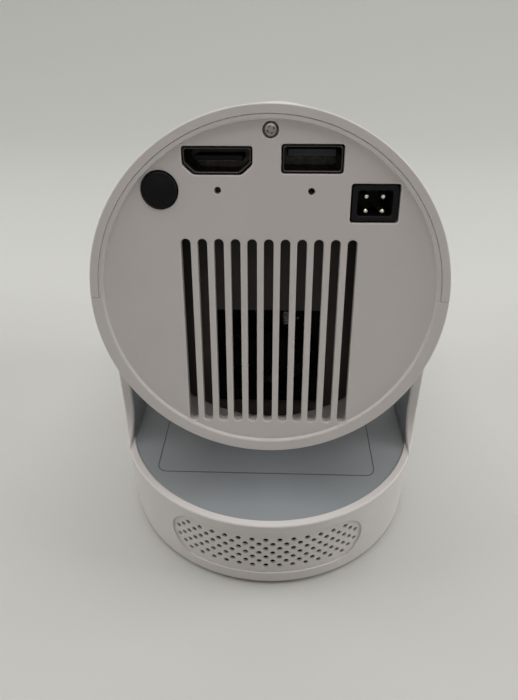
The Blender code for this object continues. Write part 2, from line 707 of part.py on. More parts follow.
def base_boss_places():
    return [(BASE_BOSS_CIRCLE * math.cos(math.radians(angle)), BASE_BOSS_CIRCLE * math.sin(math.radians(angle)),
             angle) for angle in BASE_BOSS_ANGLES]


def stand_shell():
    """White shell: base wall with its perforated window, and both arms in one moulding."""
    shell = finish(revolve(base_profile()), "stand_shell", white_plastic())
    for side, label in ((1, "left"), (-1, "right")):
        outline = arm_outline(0.0, ARM_FOOT_HALF, BASE_HEIGHT - ARM_ROOT_DEPTH)
        low, high = sorted((side * ARM_INNER_X, side * (ARM_OUTER_RADIUS + OVERRUN)))
        arm = finish(prism(outline, low, high, "X"), "arm_" + label, None)
        arm.hide_render = True
        arm.display_type = "WIRE"
        tower_foot = BASE_HEIGHT - 2 * ARM_ROOT_DEPTH
        tower_top = PIVOT_HEIGHT + 2 * ARM_HALF_WIDTH
        tower = [(0.0, tower_foot), (ARM_OUTER_RADIUS, tower_foot), (ARM_OUTER_RADIUS, tower_top),
                 (0.0, tower_top)]
        boolean(arm, revolve(tower), "arm_round_" + label, "INTERSECT")
        step = shell.modifiers.new("arm_" + label, "BOOLEAN")
        step.operation = "UNION"
        step.solver = "EXACT"
        step.object = arm
    for index, (x, y, angle) in enumerate(base_boss_places()):
        boss_plan = circle(BASE_BOSS_RADIUS, SMALL_STEPS, (x, y))
        boss = prism(boss_plan, BASE_PLATE_HIGH_Z + FIT_GAP, LEDGE_Z - FIT_GAP)
        join(shell, boss, "base_boss_%d" % (index + 1))
        rib_plan = rectangle((BASE_BOSS_CIRCLE, -BASE_RIB_HALF), (BASE_INNER_RADIUS + FIT_GAP, BASE_RIB_HALF))
        rib = prism(rib_plan, BASE_PLATE_HIGH_Z + 2 * FIT_GAP, LEDGE_Z - 2 * FIT_GAP)
        join(shell, turned(rib, math.radians(angle), "Z"), "base_rib_%d" % (index + 1))
        pilot = prism(circle(BASE_SCREW_SHANK_RADIUS + FIT_GAP, SMALL_STEPS // 2, (x, y)),
                      SHELL_FOOT_Z, BASE_PLATE_HIGH_Z + BASE_SCREW_LENGTH)
        cut(shell, pilot, "base_pilot_%d" % (index + 1))
    for side, label in ((1, "left"), (-1, "right")):
        pocket = arm_outline(ARM_EDGE, LINER_FOOT_HALF + FIT_GAP, FLOOR_TOP_Z)
        low, high = sorted((side * (ARM_INNER_X - OVERRUN), side * POCKET_X))
        cut(shell, prism(pocket, low, high, "X"), "liner_pocket_" + label)
        low, high = sorted((side * (ARM_INNER_X - OVERRUN), side * (PIN_FLANGE_X + PIN_FLANGE + FIT_GAP)))
        seat = circle(PIN_FLANGE_RADIUS + FIT_GAP, SMALL_STEPS, (0.0, PIVOT_HEIGHT))
        cut(shell, prism(seat, low, high, "X"), "hinge_seat_" + label)
    recess = grille_slab(GRILLE_HALF_LENGTH, GRILLE_HALF_HEIGHT, GRILLE_MIDDLE_Z, GRILLE_RECESS, -OVERRUN)
    cut(shell, recess, "grille_recess")
    cut(shell, grille_holes(), "grille_holes")
    return shell


def cradle_floor():
    """Grey floor of the yoke, on the ledge inside the rim and cut straight beside the arms."""
    radius = RIM_INNER_RADIUS - FIT_GAP
    half = ARM_INNER_X - FIT_GAP
    corner = math.degrees(math.acos(half / radius))
    outline = arc((0.0, 0.0), radius, corner, 180 - corner, ROUND_STEPS // 3)
    outline += arc((0.0, 0.0), radius, 180 + corner, 360 - corner, ROUND_STEPS // 3)
    return finish(prism(outline, LEDGE_Z + FIT_GAP, FLOOR_TOP_Z), "cradle_floor", grey_plastic())


def arm_liner(side, label):
    """Grey cover over the hinge inside an arm."""
    outline = arm_outline(ARM_EDGE + FIT_GAP, LINER_FOOT_HALF, FLOOR_TOP_Z + FIT_GAP)
    low, high = sorted((side * ARM_INNER_X, side * (ARM_INNER_X + LINER_THICKNESS)))
    liner = finish(prism(outline, low, high, "X"), "arm_liner_" + label, grey_plastic())
    hole = circle(PIN_RADIUS + PIN_HOLE_GAP, SMALL_STEPS, (0.0, PIVOT_HEIGHT))
    low, high = sorted((side * (ARM_INNER_X - OVERRUN), side * (POCKET_X + OVERRUN)))
    cut(liner, prism(hole, low, high, "X"), "liner_hole_" + label)
    return liner


def base_plate():
    """Cover under the base, with a sunk seat for each screw head."""
    radius = BASE_INNER_RADIUS - FIT_GAP
    plate = finish(revolve([(0.0, BASE_PLATE_LOW_Z), (radius - BASE_PLATE_LIP, BASE_PLATE_LOW_Z),
                            (radius, BASE_PLATE_LOW_Z + BASE_PLATE_LIP), (radius, BASE_PLATE_HIGH_Z),
                            (0.0, BASE_PLATE_HIGH_Z)]), "base_plate", black_plastic())
    seat_top = BASE_PLATE_LOW_Z + BASE_SCREW_HEAD + FIT_GAP
    for index, (x, y, angle) in enumerate(base_boss_places()):
        seat = prism(circle(BASE_SCREW_HEAD_RADIUS + FIT_GAP, SMALL_STEPS // 2, (x, y)),
                     BASE_PLATE_LOW_Z - OVERRUN, seat_top)
        cut(plate, seat, "screw_seat_%d" % (index + 1))
        hole = prism(circle(BASE_SCREW_SHANK_RADIUS + FIT_GAP, SMALL_STEPS // 2, (x, y)),
                     BASE_PLATE_LOW_Z - OVERRUN, BASE_PLATE_HIGH_Z + OVERRUN)
        cut(plate, hole, "screw_hole_%d" % (index + 1))
    return plate


def screw_profile(head_radius, head, shank_radius, length):
    """Flat-faced screw standing on its head at height zero."""
    return [(0.0, 0.0), (head_radius, 0.0), (head_radius, head / 2), (head_radius * SCREW_EDGE_SHARE, head),
            (shank_radius, head), (shank_radius, head + length - shank_radius), (0.0, head + length)]


def base_screws():
    for index, (x, y, angle) in enumerate(base_boss_places()):
        body = revolve(screw_profile(BASE_SCREW_HEAD_RADIUS, BASE_SCREW_HEAD, BASE_SCREW_SHANK_RADIUS,
                                     BASE_SCREW_LENGTH - BASE_SCREW_HEAD), SMALL_STEPS // 2)
        finish(body, "base_screw_%d" % (index + 1), steel(), None, (x, y, BASE_PLATE_LOW_Z))


def rubber_pad():
    return finish(prism(circle(PAD_RADIUS, INNER_STEPS), 0.0, PAD_THICKNESS), "rubber_pad", dark_rubber())


def speaker():
    """Oval speaker standing on the base plate behind the perforated window."""
    middle_z = BASE_PLATE_HIGH_Z + FIT_GAP + SPEAKER_HALF_HEIGHT
    middle = (0.0, middle_z)
    end_radius = SPEAKER_HALF_HEIGHT * SPEAKER_END_SHARE
    outline = rounded_rectangle(SPEAKER_HALF_LENGTH, SPEAKER_HALF_HEIGHT, end_radius, OVAL_STEPS, middle)
    flange_back = SPEAKER_FRONT_Y - SPEAKER_FLANGE
    frame = finish(prism(outline, flange_back, SPEAKER_FRONT_Y, "Y"), "speaker_frame", black_plastic())
    inner_length = SPEAKER_HALF_LENGTH - SPEAKER_EDGE
    inner_height = SPEAKER_HALF_HEIGHT - SPEAKER_EDGE
    basket = rounded_rectangle(inner_length, inner_height, inner_height * SPEAKER_END_SHARE, OVAL_STEPS, middle)
    basket_back = flange_back - SPEAKER_BASKET_DEPTH
    join(frame, prism(basket, basket_back, flange_back + FIT_GAP, "Y"), "speaker_basket")
    well = rounded_rectangle(inner_length - SPEAKER_EDGE / 2, inner_height - SPEAKER_EDGE / 2,
                             inner_height * SPEAKER_WELL_SHARE, OVAL_STEPS, middle)
    cut(frame, prism(well, basket_back + SPEAKER_EDGE / 2, SPEAKER_FRONT_Y + OVERRUN, "Y"), "speaker_well")
    rim = (inner_height - SPEAKER_EDGE / 2 - FIT_GAP) / inner_height
    bm = bmesh.new()
    rings = []
    cone_back = basket_back + SPEAKER_EDGE / 2 + FIT_GAP
    cone_front = SPEAKER_FRONT_Y - FIT_GAP
    for spread, depth in zip(SPEAKER_SPREAD_SHARES, SPEAKER_DEPTH_SHARES):
        ring = rounded_rectangle(inner_length * rim * spread, inner_height * rim * spread,
                                 inner_height * rim * spread * SPEAKER_WELL_SHARE, OVAL_STEPS, middle)
        rings.append([bm.verts.new((x, cone_front - SPEAKER_CONE_DEPTH * depth, z)) for x, z in ring])
    back = rounded_rectangle(inner_length * rim, inner_height * rim, inner_height * rim * SPEAKER_WELL_SHARE,
                             OVAL_STEPS, middle)
    rings.insert(0, [bm.verts.new((x, cone_back, z)) for x, z in back])
    for outer, inner in zip(rings, rings[1:]):
        for here in range(len(outer)):
            after = (here + 1) % len(outer)
            bm.faces.new((outer[here], outer[after], inner[after], inner[here]))
    bm.faces.new(rings[0])
    bm.faces.new(rings[-1])
    finish(bm, "speaker_cone", dark_rubber())
    magnet_front = basket_back - FIT_GAP
    finish(prism(circle(SPEAKER_MAGNET_RADIUS, SMALL_STEPS, middle), magnet_front - SPEAKER_MAGNET_DEPTH,
                 magnet_front, "Y"), "speaker_magnet", steel())


def along_x(bm, side):
    """Turn a body made along Z so that its top points away from the middle along X."""
    return turned(bm, math.radians(90 * side), "Y")


def hinge(side, label, pivot):
    """Steel pin fixed in the arm, and the nut, spring washer and bracket inside the barrel."""
    flange_out = PIN_FLANGE_X + PIN_FLANGE
    pin = revolve([(0.0, PIN_TIP_X), (PIN_RADIUS, PIN_TIP_X), (PIN_RADIUS, PIN_FLANGE_X),
                   (PIN_FLANGE_RADIUS, PIN_FLANGE_X), (PIN_FLANGE_RADIUS, flange_out), (0.0, flange_out)],
                  SMALL_STEPS)
    finish(along_x(pin, side), "hinge_pin_" + label, steel(), None, (0.0, 0.0, PIVOT_HEIGHT))
    bracket_inner = BRACKET_OUTER_X - BRACKET_THICKNESS
    low, high = sorted((side * bracket_inner, side * BRACKET_OUTER_X))
    bracket = finish(prism(rounded_rectangle(BRACKET_HALF_Y, BRACKET_HALF_Z, PIN_RADIUS), low, high, "X"),
                     "hinge_bracket_" + label, steel(), pivot)
    low, high = sorted((side * (bracket_inner - OVERRUN), side * (BRACKET_OUTER_X + OVERRUN)))
    cut(bracket, prism(circle(PIN_RADIUS + PIN_HOLE_GAP, SMALL_STEPS), low, high, "X"), "bracket_hole_" + label)
    washer_out = bracket_inner - FIT_GAP
    washer_in = washer_out - WASHER_THICKNESS
    bore = PIN_RADIUS + FIT_GAP
    washer = revolve([(bore, washer_in), (WASHER_RADIUS, washer_in + WASHER_DISH),
                      (WASHER_RADIUS, washer_out), (bore, washer_out - WASHER_DISH)], SMALL_STEPS)
    finish(along_x(washer, side), "friction_washer_" + label, steel(), None, (0.0, 0.0, PIVOT_HEIGHT))
    nut_out = washer_in - FIT_GAP
    low, high = sorted((side * (nut_out - NUT_THICKNESS), side * nut_out))
    nut = finish(prism(circle(NUT_RADIUS, 6), low, high, "X"), "hinge_nut_" + label, steel(), None,
                 (0.0, 0.0, PIVOT_HEIGHT))
    low, high = sorted((side * (nut_out - NUT_THICKNESS - OVERRUN), side * (nut_out + OVERRUN)))
    cut(nut, prism(circle(bore, SMALL_STEPS), low, high, "X"), "nut_hole_" + label)


def seam_block(low_z, high_z):
    """A block as wide and long as the barrel, to cut one half of a shell away."""
    reach = BARREL_RADIUS + OVERRUN
    return prism(rectangle((-reach, -FRONT_REACH - OVERRUN), (reach, REAR_REACH + OVERRUN)), low_z, high_z)


def hinge_holes(shell, name):
    radius = PIN_RADIUS + PIN_HOLE_GAP
    reach = BARREL_RADIUS + OVERRUN
    cut(shell, prism(circle(radius, SMALL_STEPS), -reach, reach, "X"), name)


def hdmi_outline(grow):
    """Six-sided socket outline in (X, Z): two lower corners bevelled; grow moves every side out."""
    x, z = HDMI_CENTRE
    half_x = HDMI_HALF_WIDTH + grow
    half_z = HDMI_HALF_HEIGHT + grow
    side = HDMI_BEVEL_SIDE
    rise = HDMI_BEVEL_RISE
    return [(x - half_x, z + half_z), (x - half_x, z - half_z + rise), (x - half_x + side, z - half_z),
            (x + half_x - side, z - half_z), (x + half_x, z - half_z + rise), (x + half_x, z + half_z)]


def usb_outline(grow):
    return rounded_rectangle(USB_HALF_WIDTH + grow, USB_HALF_HEIGHT + grow, SOCKET_METAL, 2, USB_CENTRE)


def dc_outline(grow):
    return rounded_rectangle(DC_HALF_WIDTH + grow, DC_HALF_HEIGHT + grow, SOCKET_METAL, 2, DC_CENTRE)


def rear_screw_hole():
    return circle(REAR_SCREW_SHANK_RADIUS + FIT_GAP, SMALL_STEPS // 2, REAR_SCREW_CENTRE)


def cut_rear_panel(shell):
    """Every opening through the rear panel: air slots, sockets, button, screw and two small holes."""
    low = PANEL_INNER_Y - OVERRUN
    high = REAR_REACH + OVERRUN
    slots = []
    for index in range(SLOT_COUNT):
        place = (index - SLOT_COUNT // 2) * SLOT_PITCH
        outline = stadium(SLOT_WIDTH / 2, SLOT_FOOT_Z, SLOT_TOP_Z, SLOT_END_STEPS)
        slots.append(prism([(place + x, z) for x, z in outline], low, high, "Y"))
    cut(shell, merged(*slots), "air_slots")
    holes = [prism(hdmi_outline(0.0), low, high, "Y"), prism(usb_outline(0.0), low, high, "Y"),
             prism(dc_outline(0.0), low, high, "Y"),
             prism(circle(BUTTON_RADIUS + FIT_GAP, SMALL_STEPS, BUTTON_CENTRE), low, high, "Y"),
             prism(rear_screw_hole(), low, high, "Y")]
    for centre in PINHOLE_CENTRES:
        holes.append(prism(circle(PINHOLE_RADIUS, SMALL_STEPS // 2, centre), low, high, "Y"))
    cut(shell, merged(*holes), "panel_holes")
    sink = PANEL_OUTER_Y - REAR_SCREW_SINK - REAR_SCREW_HEAD
    cut(shell, prism(circle(REAR_SCREW_HEAD_RADIUS + FIT_GAP, SMALL_STEPS, REAR_SCREW_CENTRE), sink, high, "Y"),
        "rear_screw_sink")


def lower_shell(pivot):
    """Lower half of the barrel, moulded in one with the whole rear panel."""
    edge = (BARREL_RADIUS - REAR_EDGE_ROUND, REAR_REACH - REAR_EDGE_ROUND)
    nose = (BARREL_RADIUS - FRONT_EDGE_ROUND, -FRONT_REACH + FRONT_EDGE_ROUND)
    band_foot = PANEL_OUTER_Y - BAND_OVERLAP
    cup = [(LOWER_INNER_RADIUS, -FRONT_REACH)] + arc(nose, FRONT_EDGE_ROUND, -90, 0, CORNER_STEPS)
    cup += arc(edge, REAR_EDGE_ROUND, 0, 90, CORNER_STEPS + 1)
    cup += [(BAND_INNER_RADIUS, REAR_REACH), (BAND_INNER_RADIUS, band_foot), (LOWER_INNER_RADIUS, band_foot)]
    shell = finish(revolve(cup, ROUND_STEPS, "Y"), "lower_shell", white_plastic(), pivot)
    cut(shell, seam_block(SEAM_Z, BARREL_RADIUS + OVERRUN), "lower_half_cut")
    lip_inner = LIP_OUTER_RADIUS - LIP_WIDTH
    lip_top = REAR_REACH - LIP_DROP
    plate = [(0.0, PANEL_INNER_Y), (LIP_OUTER_RADIUS, PANEL_INNER_Y), (LIP_OUTER_RADIUS, lip_top),
             (lip_inner, lip_top), (lip_inner, PANEL_OUTER_Y), (0.0, PANEL_OUTER_Y)]
    join(shell, revolve(plate, ROUND_STEPS, "Y"), "rear_plate")
    hinge_holes(shell, "lower_hinge_hole")
    for index, (x, z) in enumerate(SWITCH_POST_CENTRES):
        post = prism(circle(SWITCH_POST_RADIUS, SMALL_STEPS // 2, (x, z)), switch_board_rear() + FIT_GAP,
                     PANEL_INNER_Y + PANEL_THICKNESS / 2, "Y")
        join(shell, post, "switch_post_%d" % (index + 1))
    rail_top = -ENGINE_HALF_HEIGHT - FIT_GAP
    rail_low = -math.sqrt((LOWER_INNER_RADIUS + FIT_GAP) ** 2 - RAIL_X ** 2) - FIT_GAP
    for index, side in enumerate((-1, 1)):
        low, high = sorted((side * RAIL_X, side * (RAIL_X + RAIL_THICKNESS)))
        rail = prism(rectangle((low, RAIL_FRONT_Y), (high, RAIL_REAR_Y)), rail_low, rail_top)
        join(shell, rail, "engine_rail_%d" % (index + 1))
    inlets = []
    inlet_front = INLET_Y - INLET_HALF_LENGTH
    inlet_rear = INLET_Y + INLET_HALF_LENGTH
    for index in range(INLET_COUNT):
        slot = prism(stadium(INLET_HALF_WIDTH, inlet_front, inlet_rear, INLET_END_STEPS),
                     -BARREL_RADIUS - OVERRUN, -LOWER_INNER_RADIUS + LOWER_WALL)
        inlets.append(turned(slot, (index - INLET_COUNT // 2) * INLET_STEP, "Y"))
    cut(shell, merged(*inlets), "air_inlets")
    cut_rear_panel(shell)
    return shell


def upper_shell(pivot):
    """Upper cover of the barrel, with the focus wheel's slot and ears and the rear screw's boss."""
    edge = (BARREL_RADIUS - REAR_EDGE_ROUND, REAR_REACH - REAR_EDGE_ROUND)
    nose = (BARREL_RADIUS - FRONT_EDGE_ROUND, -FRONT_REACH + FRONT_EDGE_ROUND)
    tube = [(UPPER_INNER_RADIUS, -FRONT_REACH)] + arc(nose, FRONT_EDGE_ROUND, -90, 0, CORNER_STEPS)
    tube += arc(edge, REAR_EDGE_ROUND, 0, 90, CORNER_STEPS + 1) + [(UPPER_INNER_RADIUS, REAR_REACH)]
    shell = finish(revolve(tube, ROUND_STEPS, "Y"), "upper_shell", white_plastic(), pivot)
    cut(shell, seam_block(-BARREL_RADIUS - OVERRUN, SEAM_Z + FIT_GAP), "upper_half_cut")
    hinge_holes(shell, "upper_hinge_hole")
    boss_rear = PANEL_INNER_Y - FIT_GAP
    boss_front = boss_rear - REAR_BOSS_LENGTH
    boss = prism(circle(REAR_BOSS_RADIUS, SMALL_STEPS, REAR_SCREW_CENTRE), boss_front, boss_rear, "Y")
    join(shell, boss, "rear_boss")
    x, z = REAR_SCREW_CENTRE
    web = prism(rectangle((x - REAR_BOSS_WEB, z), (x + REAR_BOSS_WEB, UPPER_INNER_RADIUS + UPPER_WALL / 2)),
                boss_front + FIT_GAP, boss_rear - FIT_GAP, "Y")
    join(shell, web, "rear_boss_web")
    cut(shell, prism(rear_screw_hole(), boss_front - OVERRUN, boss_rear + OVERRUN, "Y"), "rear_pilot")
    ear_top = UPPER_INNER_RADIUS + UPPER_WALL / 2
    for index, sign in enumerate((-1, 1)):
        near = RING_Y + sign * (WHEEL_WIDTH / 2 + AXLE_EAR_GAP)
        low, high = sorted((near, near + sign * AXLE_EAR))
        ear_face = rectangle((-AXLE_EAR_HALF, WHEEL_REACH - AXLE_EAR_HALF), (AXLE_EAR_HALF, ear_top))
        ear = turned(prism(ear_face, low, high, "Y"), WHEEL_ANGLE, "Y")
        join(shell, ear, "wheel_ear_%d" % (index + 1))
    reach = WHEEL_WIDTH / 2 + AXLE_EAR_GAP + AXLE_EAR + OVERRUN
    bore = circle(AXLE_RADIUS + FIT_GAP, SMALL_STEPS // 2, (WHEEL_X, WHEEL_Z))
    cut(shell, prism(bore, RING_Y - reach, RING_Y + reach, "Y"), "axle_hole")
    tip = WHEEL_PITCH_CIRCLE + TOOTH_RISE + WHEEL_SLOT_GAP
    half_y = WHEEL_WIDTH / 2 + AXLE_EAR_GAP / 2
    slot = prism(circle(tip, SMALL_STEPS, (WHEEL_X, WHEEL_Z)), RING_Y - half_y, RING_Y + half_y, "Y")
    cut(shell, slot, "wheel_slot")
    return shell


def front_bezel(pivot):
    """Black dished face round the lens, just inside the shells' front edge."""
    outer = LOWER_INNER_RADIUS - FIT_GAP
    back = BEZEL_FACE_Y + BEZEL_THICKNESS
    throat = BEZEL_FACE_Y + BEZEL_THROAT_DEPTH
    outline = [(BEZEL_MOUTH_RADIUS, BEZEL_FACE_Y), (outer - BEZEL_EDGE, BEZEL_FACE_Y),
               (outer, BEZEL_FACE_Y + BEZEL_EDGE), (outer, back), (BEZEL_MOUTH_RADIUS + BEZEL_COLLAR, back),
               (BEZEL_THROAT_RADIUS + BEZEL_COLLAR, throat + BEZEL_COLLAR),
               (BEZEL_THROAT_RADIUS, throat + BEZEL_COLLAR), (BEZEL_THROAT_RADIUS, throat)]
    return finish(revolve(outline, INNER_STEPS, "Y"), "front_bezel", black_gloss(), pivot)


def rear_screw(pivot):
    body = revolve(screw_profile(REAR_SCREW_HEAD_RADIUS, REAR_SCREW_HEAD, REAR_SCREW_SHANK_RADIUS,
                                 REAR_SCREW_LENGTH), SMALL_STEPS)
    turned(body, math.radians(90), "X")
    x, z = REAR_SCREW_CENTRE
    finish(body, "rear_screw", tin_plate(), pivot, (x, PANEL_OUTER_Y - REAR_SCREW_SINK + FIT_GAP, z))


def socket_shell(name, outer, inner, depth, pivot):
    """Folded metal mouth of a socket, closed at the back."""
    back = SOCKET_MOUTH_Y - depth
    shell = finish(prism(outer, back, SOCKET_MOUTH_Y, "Y"), name, tin_plate(), pivot)
    cut(shell, prism(inner, back + SOCKET_METAL, SOCKET_MOUTH_Y + OVERRUN, "Y"), name + "_mouth")
    return shell


def socket_tongue(name, centre, half_x, half_z, lift, depth, length, pivot):
    back = SOCKET_MOUTH_Y - depth + SOCKET_METAL + FIT_GAP
    outline = centred(half_x, half_z, (centre[0], centre[1] + lift))
    return finish(prism(outline, back, back + length, "Y"), name, black_plastic(), pivot)


def sockets(pivot):
    socket_shell("hdmi_shell", hdmi_outline(-FIT_GAP), hdmi_outline(-FIT_GAP - SOCKET_METAL), HDMI_DEPTH, pivot)
    socket_tongue("hdmi_tongue", HDMI_CENTRE, HDMI_TONGUE_HALF_WIDTH, HDMI_TONGUE_HALF_HEIGHT, HDMI_TONGUE_LIFT,
                  HDMI_DEPTH, HDMI_TONGUE_LENGTH, pivot)
    outer = centred(USB_HALF_WIDTH - FIT_GAP, USB_HALF_HEIGHT - FIT_GAP, USB_CENTRE)
    inner_x = USB_HALF_WIDTH - FIT_GAP - SOCKET_METAL
    inner = centred(inner_x, USB_HALF_HEIGHT - FIT_GAP - SOCKET_METAL, USB_CENTRE)
    socket_shell("usb_shell", outer, inner, USB_DEPTH, pivot)
    socket_tongue("usb_tongue", USB_CENTRE, USB_TONGUE_HALF_WIDTH, USB_TONGUE_HALF_HEIGHT, USB_TONGUE_LIFT,
                  USB_DEPTH, USB_TONGUE_LENGTH, pivot)
    outer = centred(DC_HALF_WIDTH - FIT_GAP, DC_HALF_HEIGHT - FIT_GAP, DC_CENTRE)
    block = prism(outer, SOCKET_MOUTH_Y - DC_DEPTH, SOCKET_MOUTH_Y, "Y")
    housing = finish(block, "dc_housing", black_plastic(), pivot)
    inner = centred(DC_HALF_WIDTH - FIT_GAP - DC_WALL_SIDE, DC_HALF_HEIGHT - FIT_GAP - DC_WALL_END, DC_CENTRE)
    back = SOCKET_MOUTH_Y - DC_DEPTH + DC_BACK
    cut(housing, prism(inner, back, SOCKET_MOUTH_Y + OVERRUN, "Y"), "dc_mouth")
    index = 0
    for x in (DC_PIN_HALF_X, -DC_PIN_HALF_X):
        for z in (DC_PIN_HALF_Z, -DC_PIN_HALF_Z):
            index += 1
            base = back + FIT_GAP
            pin = revolve([(0.0, 0.0), (DC_PIN_RADIUS, 0.0), (DC_PIN_RADIUS, DC_PIN_LENGTH - DC_PIN_RADIUS),
                           (DC_PIN_RADIUS / 2, DC_PIN_LENGTH), (0.0, DC_PIN_LENGTH)], SMALL_STEPS // 2, "Y")
            finish(pin, "dc_pin_%d" % index, brass(), pivot, (DC_CENTRE[0] + x, base, DC_CENTRE[1] + z))


def button_flange_front():
    """Depth of the button flange's inner side under the panel's outer face."""
    return -PANEL_THICKNESS - FIT_GAP - BUTTON_FLANGE


def switch_tip():
    return button_flange_front() - BUTTON_STEM - BUTTON_TRAVEL - BUTTON_STROKE_GAP


def switch_board_rear():
    """Place along the barrel of the switch board's side that faces the panel."""
    return PANEL_OUTER_Y + switch_tip() - SWITCH_PLUNGER - SWITCH_BODY - FIT_GAP


def power_button(pivot):
    """Round crowned key, held behind the panel by its flange."""
    inner = button_flange_front()
    skirt = BUTTON_RADIUS - BUTTON_SIDE_GAP
    flange = BUTTON_RADIUS + BUTTON_FLANGE_LAP
    outline = [(0.0, inner - BUTTON_STEM), (BUTTON_STEM_RADIUS, inner - BUTTON_STEM),
               (BUTTON_STEM_RADIUS, inner), (flange, inner), (flange, inner + BUTTON_FLANGE),
               (skirt, inner + BUTTON_FLANGE), (skirt, BUTTON_PROUD)]
    outline += [(skirt * across, BUTTON_PROUD + BUTTON_CROWN * rise) for across, rise in BUTTON_CROWN_SHARES]
    x, z = BUTTON_CENTRE
    return finish(revolve(outline, PART_STEPS, "Y"), "power_button", black_plastic(), pivot,
                  (x, PANEL_OUTER_Y, z))


def power_switch(pivot):
    board_rear = switch_board_rear()
    finish(prism(rectangle(SWITCH_BOARD_LOW, SWITCH_BOARD_HIGH), board_rear - SWITCH_BOARD, board_rear, "Y"),
           "switch_board", board_green(), pivot)
    body_front = board_rear + FIT_GAP
    body_rear = body_front + SWITCH_BODY
    body = prism(centred(SWITCH_HALF, SWITCH_HALF, BUTTON_CENTRE), body_front, body_rear, "Y")
    switch = finish(body, "tact_switch", black_plastic(), pivot)
    plunger = circle(SWITCH_PLUNGER_RADIUS, SMALL_STEPS // 2, BUTTON_CENTRE)
    join(switch, prism(plunger, body_front + SWITCH_BODY / 2, body_rear + SWITCH_PLUNGER, "Y"),
         "switch_plunger")


def main_board(pivot):
    """Board under the sockets, notched beside the power button, with its chip and heat sink."""
    outline = [(-BOARD_HALF_WIDTH, BOARD_FRONT_Y), (BOARD_HALF_WIDTH, BOARD_FRONT_Y),
               (BOARD_HALF_WIDTH, BOARD_NOTCH_Y), (BOARD_NOTCH_X, BOARD_NOTCH_Y), (BOARD_NOTCH_X, BOARD_REAR_Y),
               (-BOARD_HALF_WIDTH, BOARD_REAR_Y)]
    finish(prism(outline, BOARD_TOP_Z - BOARD_THICKNESS, BOARD_TOP_Z), "main_board", board_green(), pivot)
    base = BOARD_TOP_Z + FIT_GAP
    pitch = (2 * CHIP_HALF - SINK_FIN) / (CHIP_FINS - 1)
    comb = [(-CHIP_HALF, base), (CHIP_HALF, base)]
    for index in reversed(range(CHIP_FINS)):
        left = -CHIP_HALF + index * pitch
        comb += [(left + SINK_FIN, base + CHIP_BASE), (left + SINK_FIN, base + CHIP_HEIGHT),
                 (left, base + CHIP_HEIGHT), (left, base + CHIP_BASE)]
    comb = [comb[0], comb[1]] + comb[3:-1]
    finish(prism(comb, CHIP_Y - CHIP_HALF, CHIP_Y + CHIP_HALF, "Y"), "chip_heat_sink", aluminium(), pivot)


def indicators(pivot):
    """Status light and remote receiver, each behind its small hole in the panel."""
    rear = PANEL_INNER_Y - FIT_GAP
    outline = [(0.0, 0.0), (INDICATOR_FLANGE, 0.0), (INDICATOR_FLANGE, INDICATOR_FLANGE_LENGTH),
               (INDICATOR_RADIUS, INDICATOR_FLANGE_LENGTH)]
    for across, along in INDICATOR_DOME_SHARES:
        outline.append((INDICATOR_RADIUS * across, INDICATOR_LENGTH * along))
    lamp = revolve(outline, SMALL_STEPS // 2, "Y")
    x, z = PINHOLE_CENTRES[1]
    finish(lamp, "status_light", clear_glass(), pivot, (x, rear - INDICATOR_LENGTH, z - FIT_GAP))
    face = centred(RECEIVER_HALF, RECEIVER_HALF - FIT_GAP, PINHOLE_CENTRES[0])
    receiver = prism(face, rear - RECEIVER_DEPTH, rear, "Y")
    finish(receiver, "remote_receiver", black_plastic(), pivot, (0.0, 0.0, -FIT_GAP))


def fan_baffle(pivot):
    """Dark wall behind the air slots, with the fan's square mouth."""
    radius = LOWER_INNER_RADIUS - FIT_GAP
    corner = math.degrees(math.asin(BAFFLE_TOP_Z / radius))
    outline = arc((0.0, 0.0), radius, 180 - corner, 360 + corner, PART_STEPS)
    baffle = finish(prism(outline, BAFFLE_FRONT_Y, BAFFLE_REAR_Y, "Y"), "fan_baffle", black_plastic(), pivot)
    cut(baffle, prism(centred(MOUTH_HALF, MOUTH_HALF, (0.0, FAN_Z)), BAFFLE_FRONT_Y - OVERRUN,
                      BAFFLE_REAR_Y + OVERRUN, "Y"), "fan_mouth")
    return baffle


def fan_blade_ring():
    """Twisted blades round the hub, each sunk into it."""
    blades = []
    root = FAN_HUB_RADIUS - FAN_BLADE_TIP_GAP
    tip = FAN_DUCT_RADIUS - FAN_BLADE_TIP_GAP
    for index in range(FAN_BLADES):
        bm = bmesh.new()
        sections = []
        for radius, twist in zip((root, (root + tip) / 2, tip), FAN_TWIST_SHARES):
            half = FAN_BLADE_LENGTH / 2
            pitch = FAN_BLADE_PITCH * twist
            across = Vector((math.cos(pitch), math.sin(pitch)))
            normal = Vector((-across.y, across.x)) * (FAN_BLADE_THICKNESS / 2)
            section = []
            for end, side in ((-1, -1), (1, -1), (1, 1), (-1, 1)):
                spot = across * (half * end) + normal * side
                section.append(bm.verts.new((spot.x, spot.y, radius)))
            sections.append(section)
        for inner, outer in zip(sections, sections[1:]):
            for here in range(4):
                after = (here + 1) % 4
                bm.faces.new((inner[here], inner[after], outer[after], outer[here]))
        bm.faces.new(sections[0])
        bm.faces.new(sections[-1])
        bmesh.ops.recalc_face_normals(bm, faces=bm.faces)
        blades.append(turned(bm, 2 * math.pi * index / FAN_BLADES, "Y"))
    return merged(*blades)


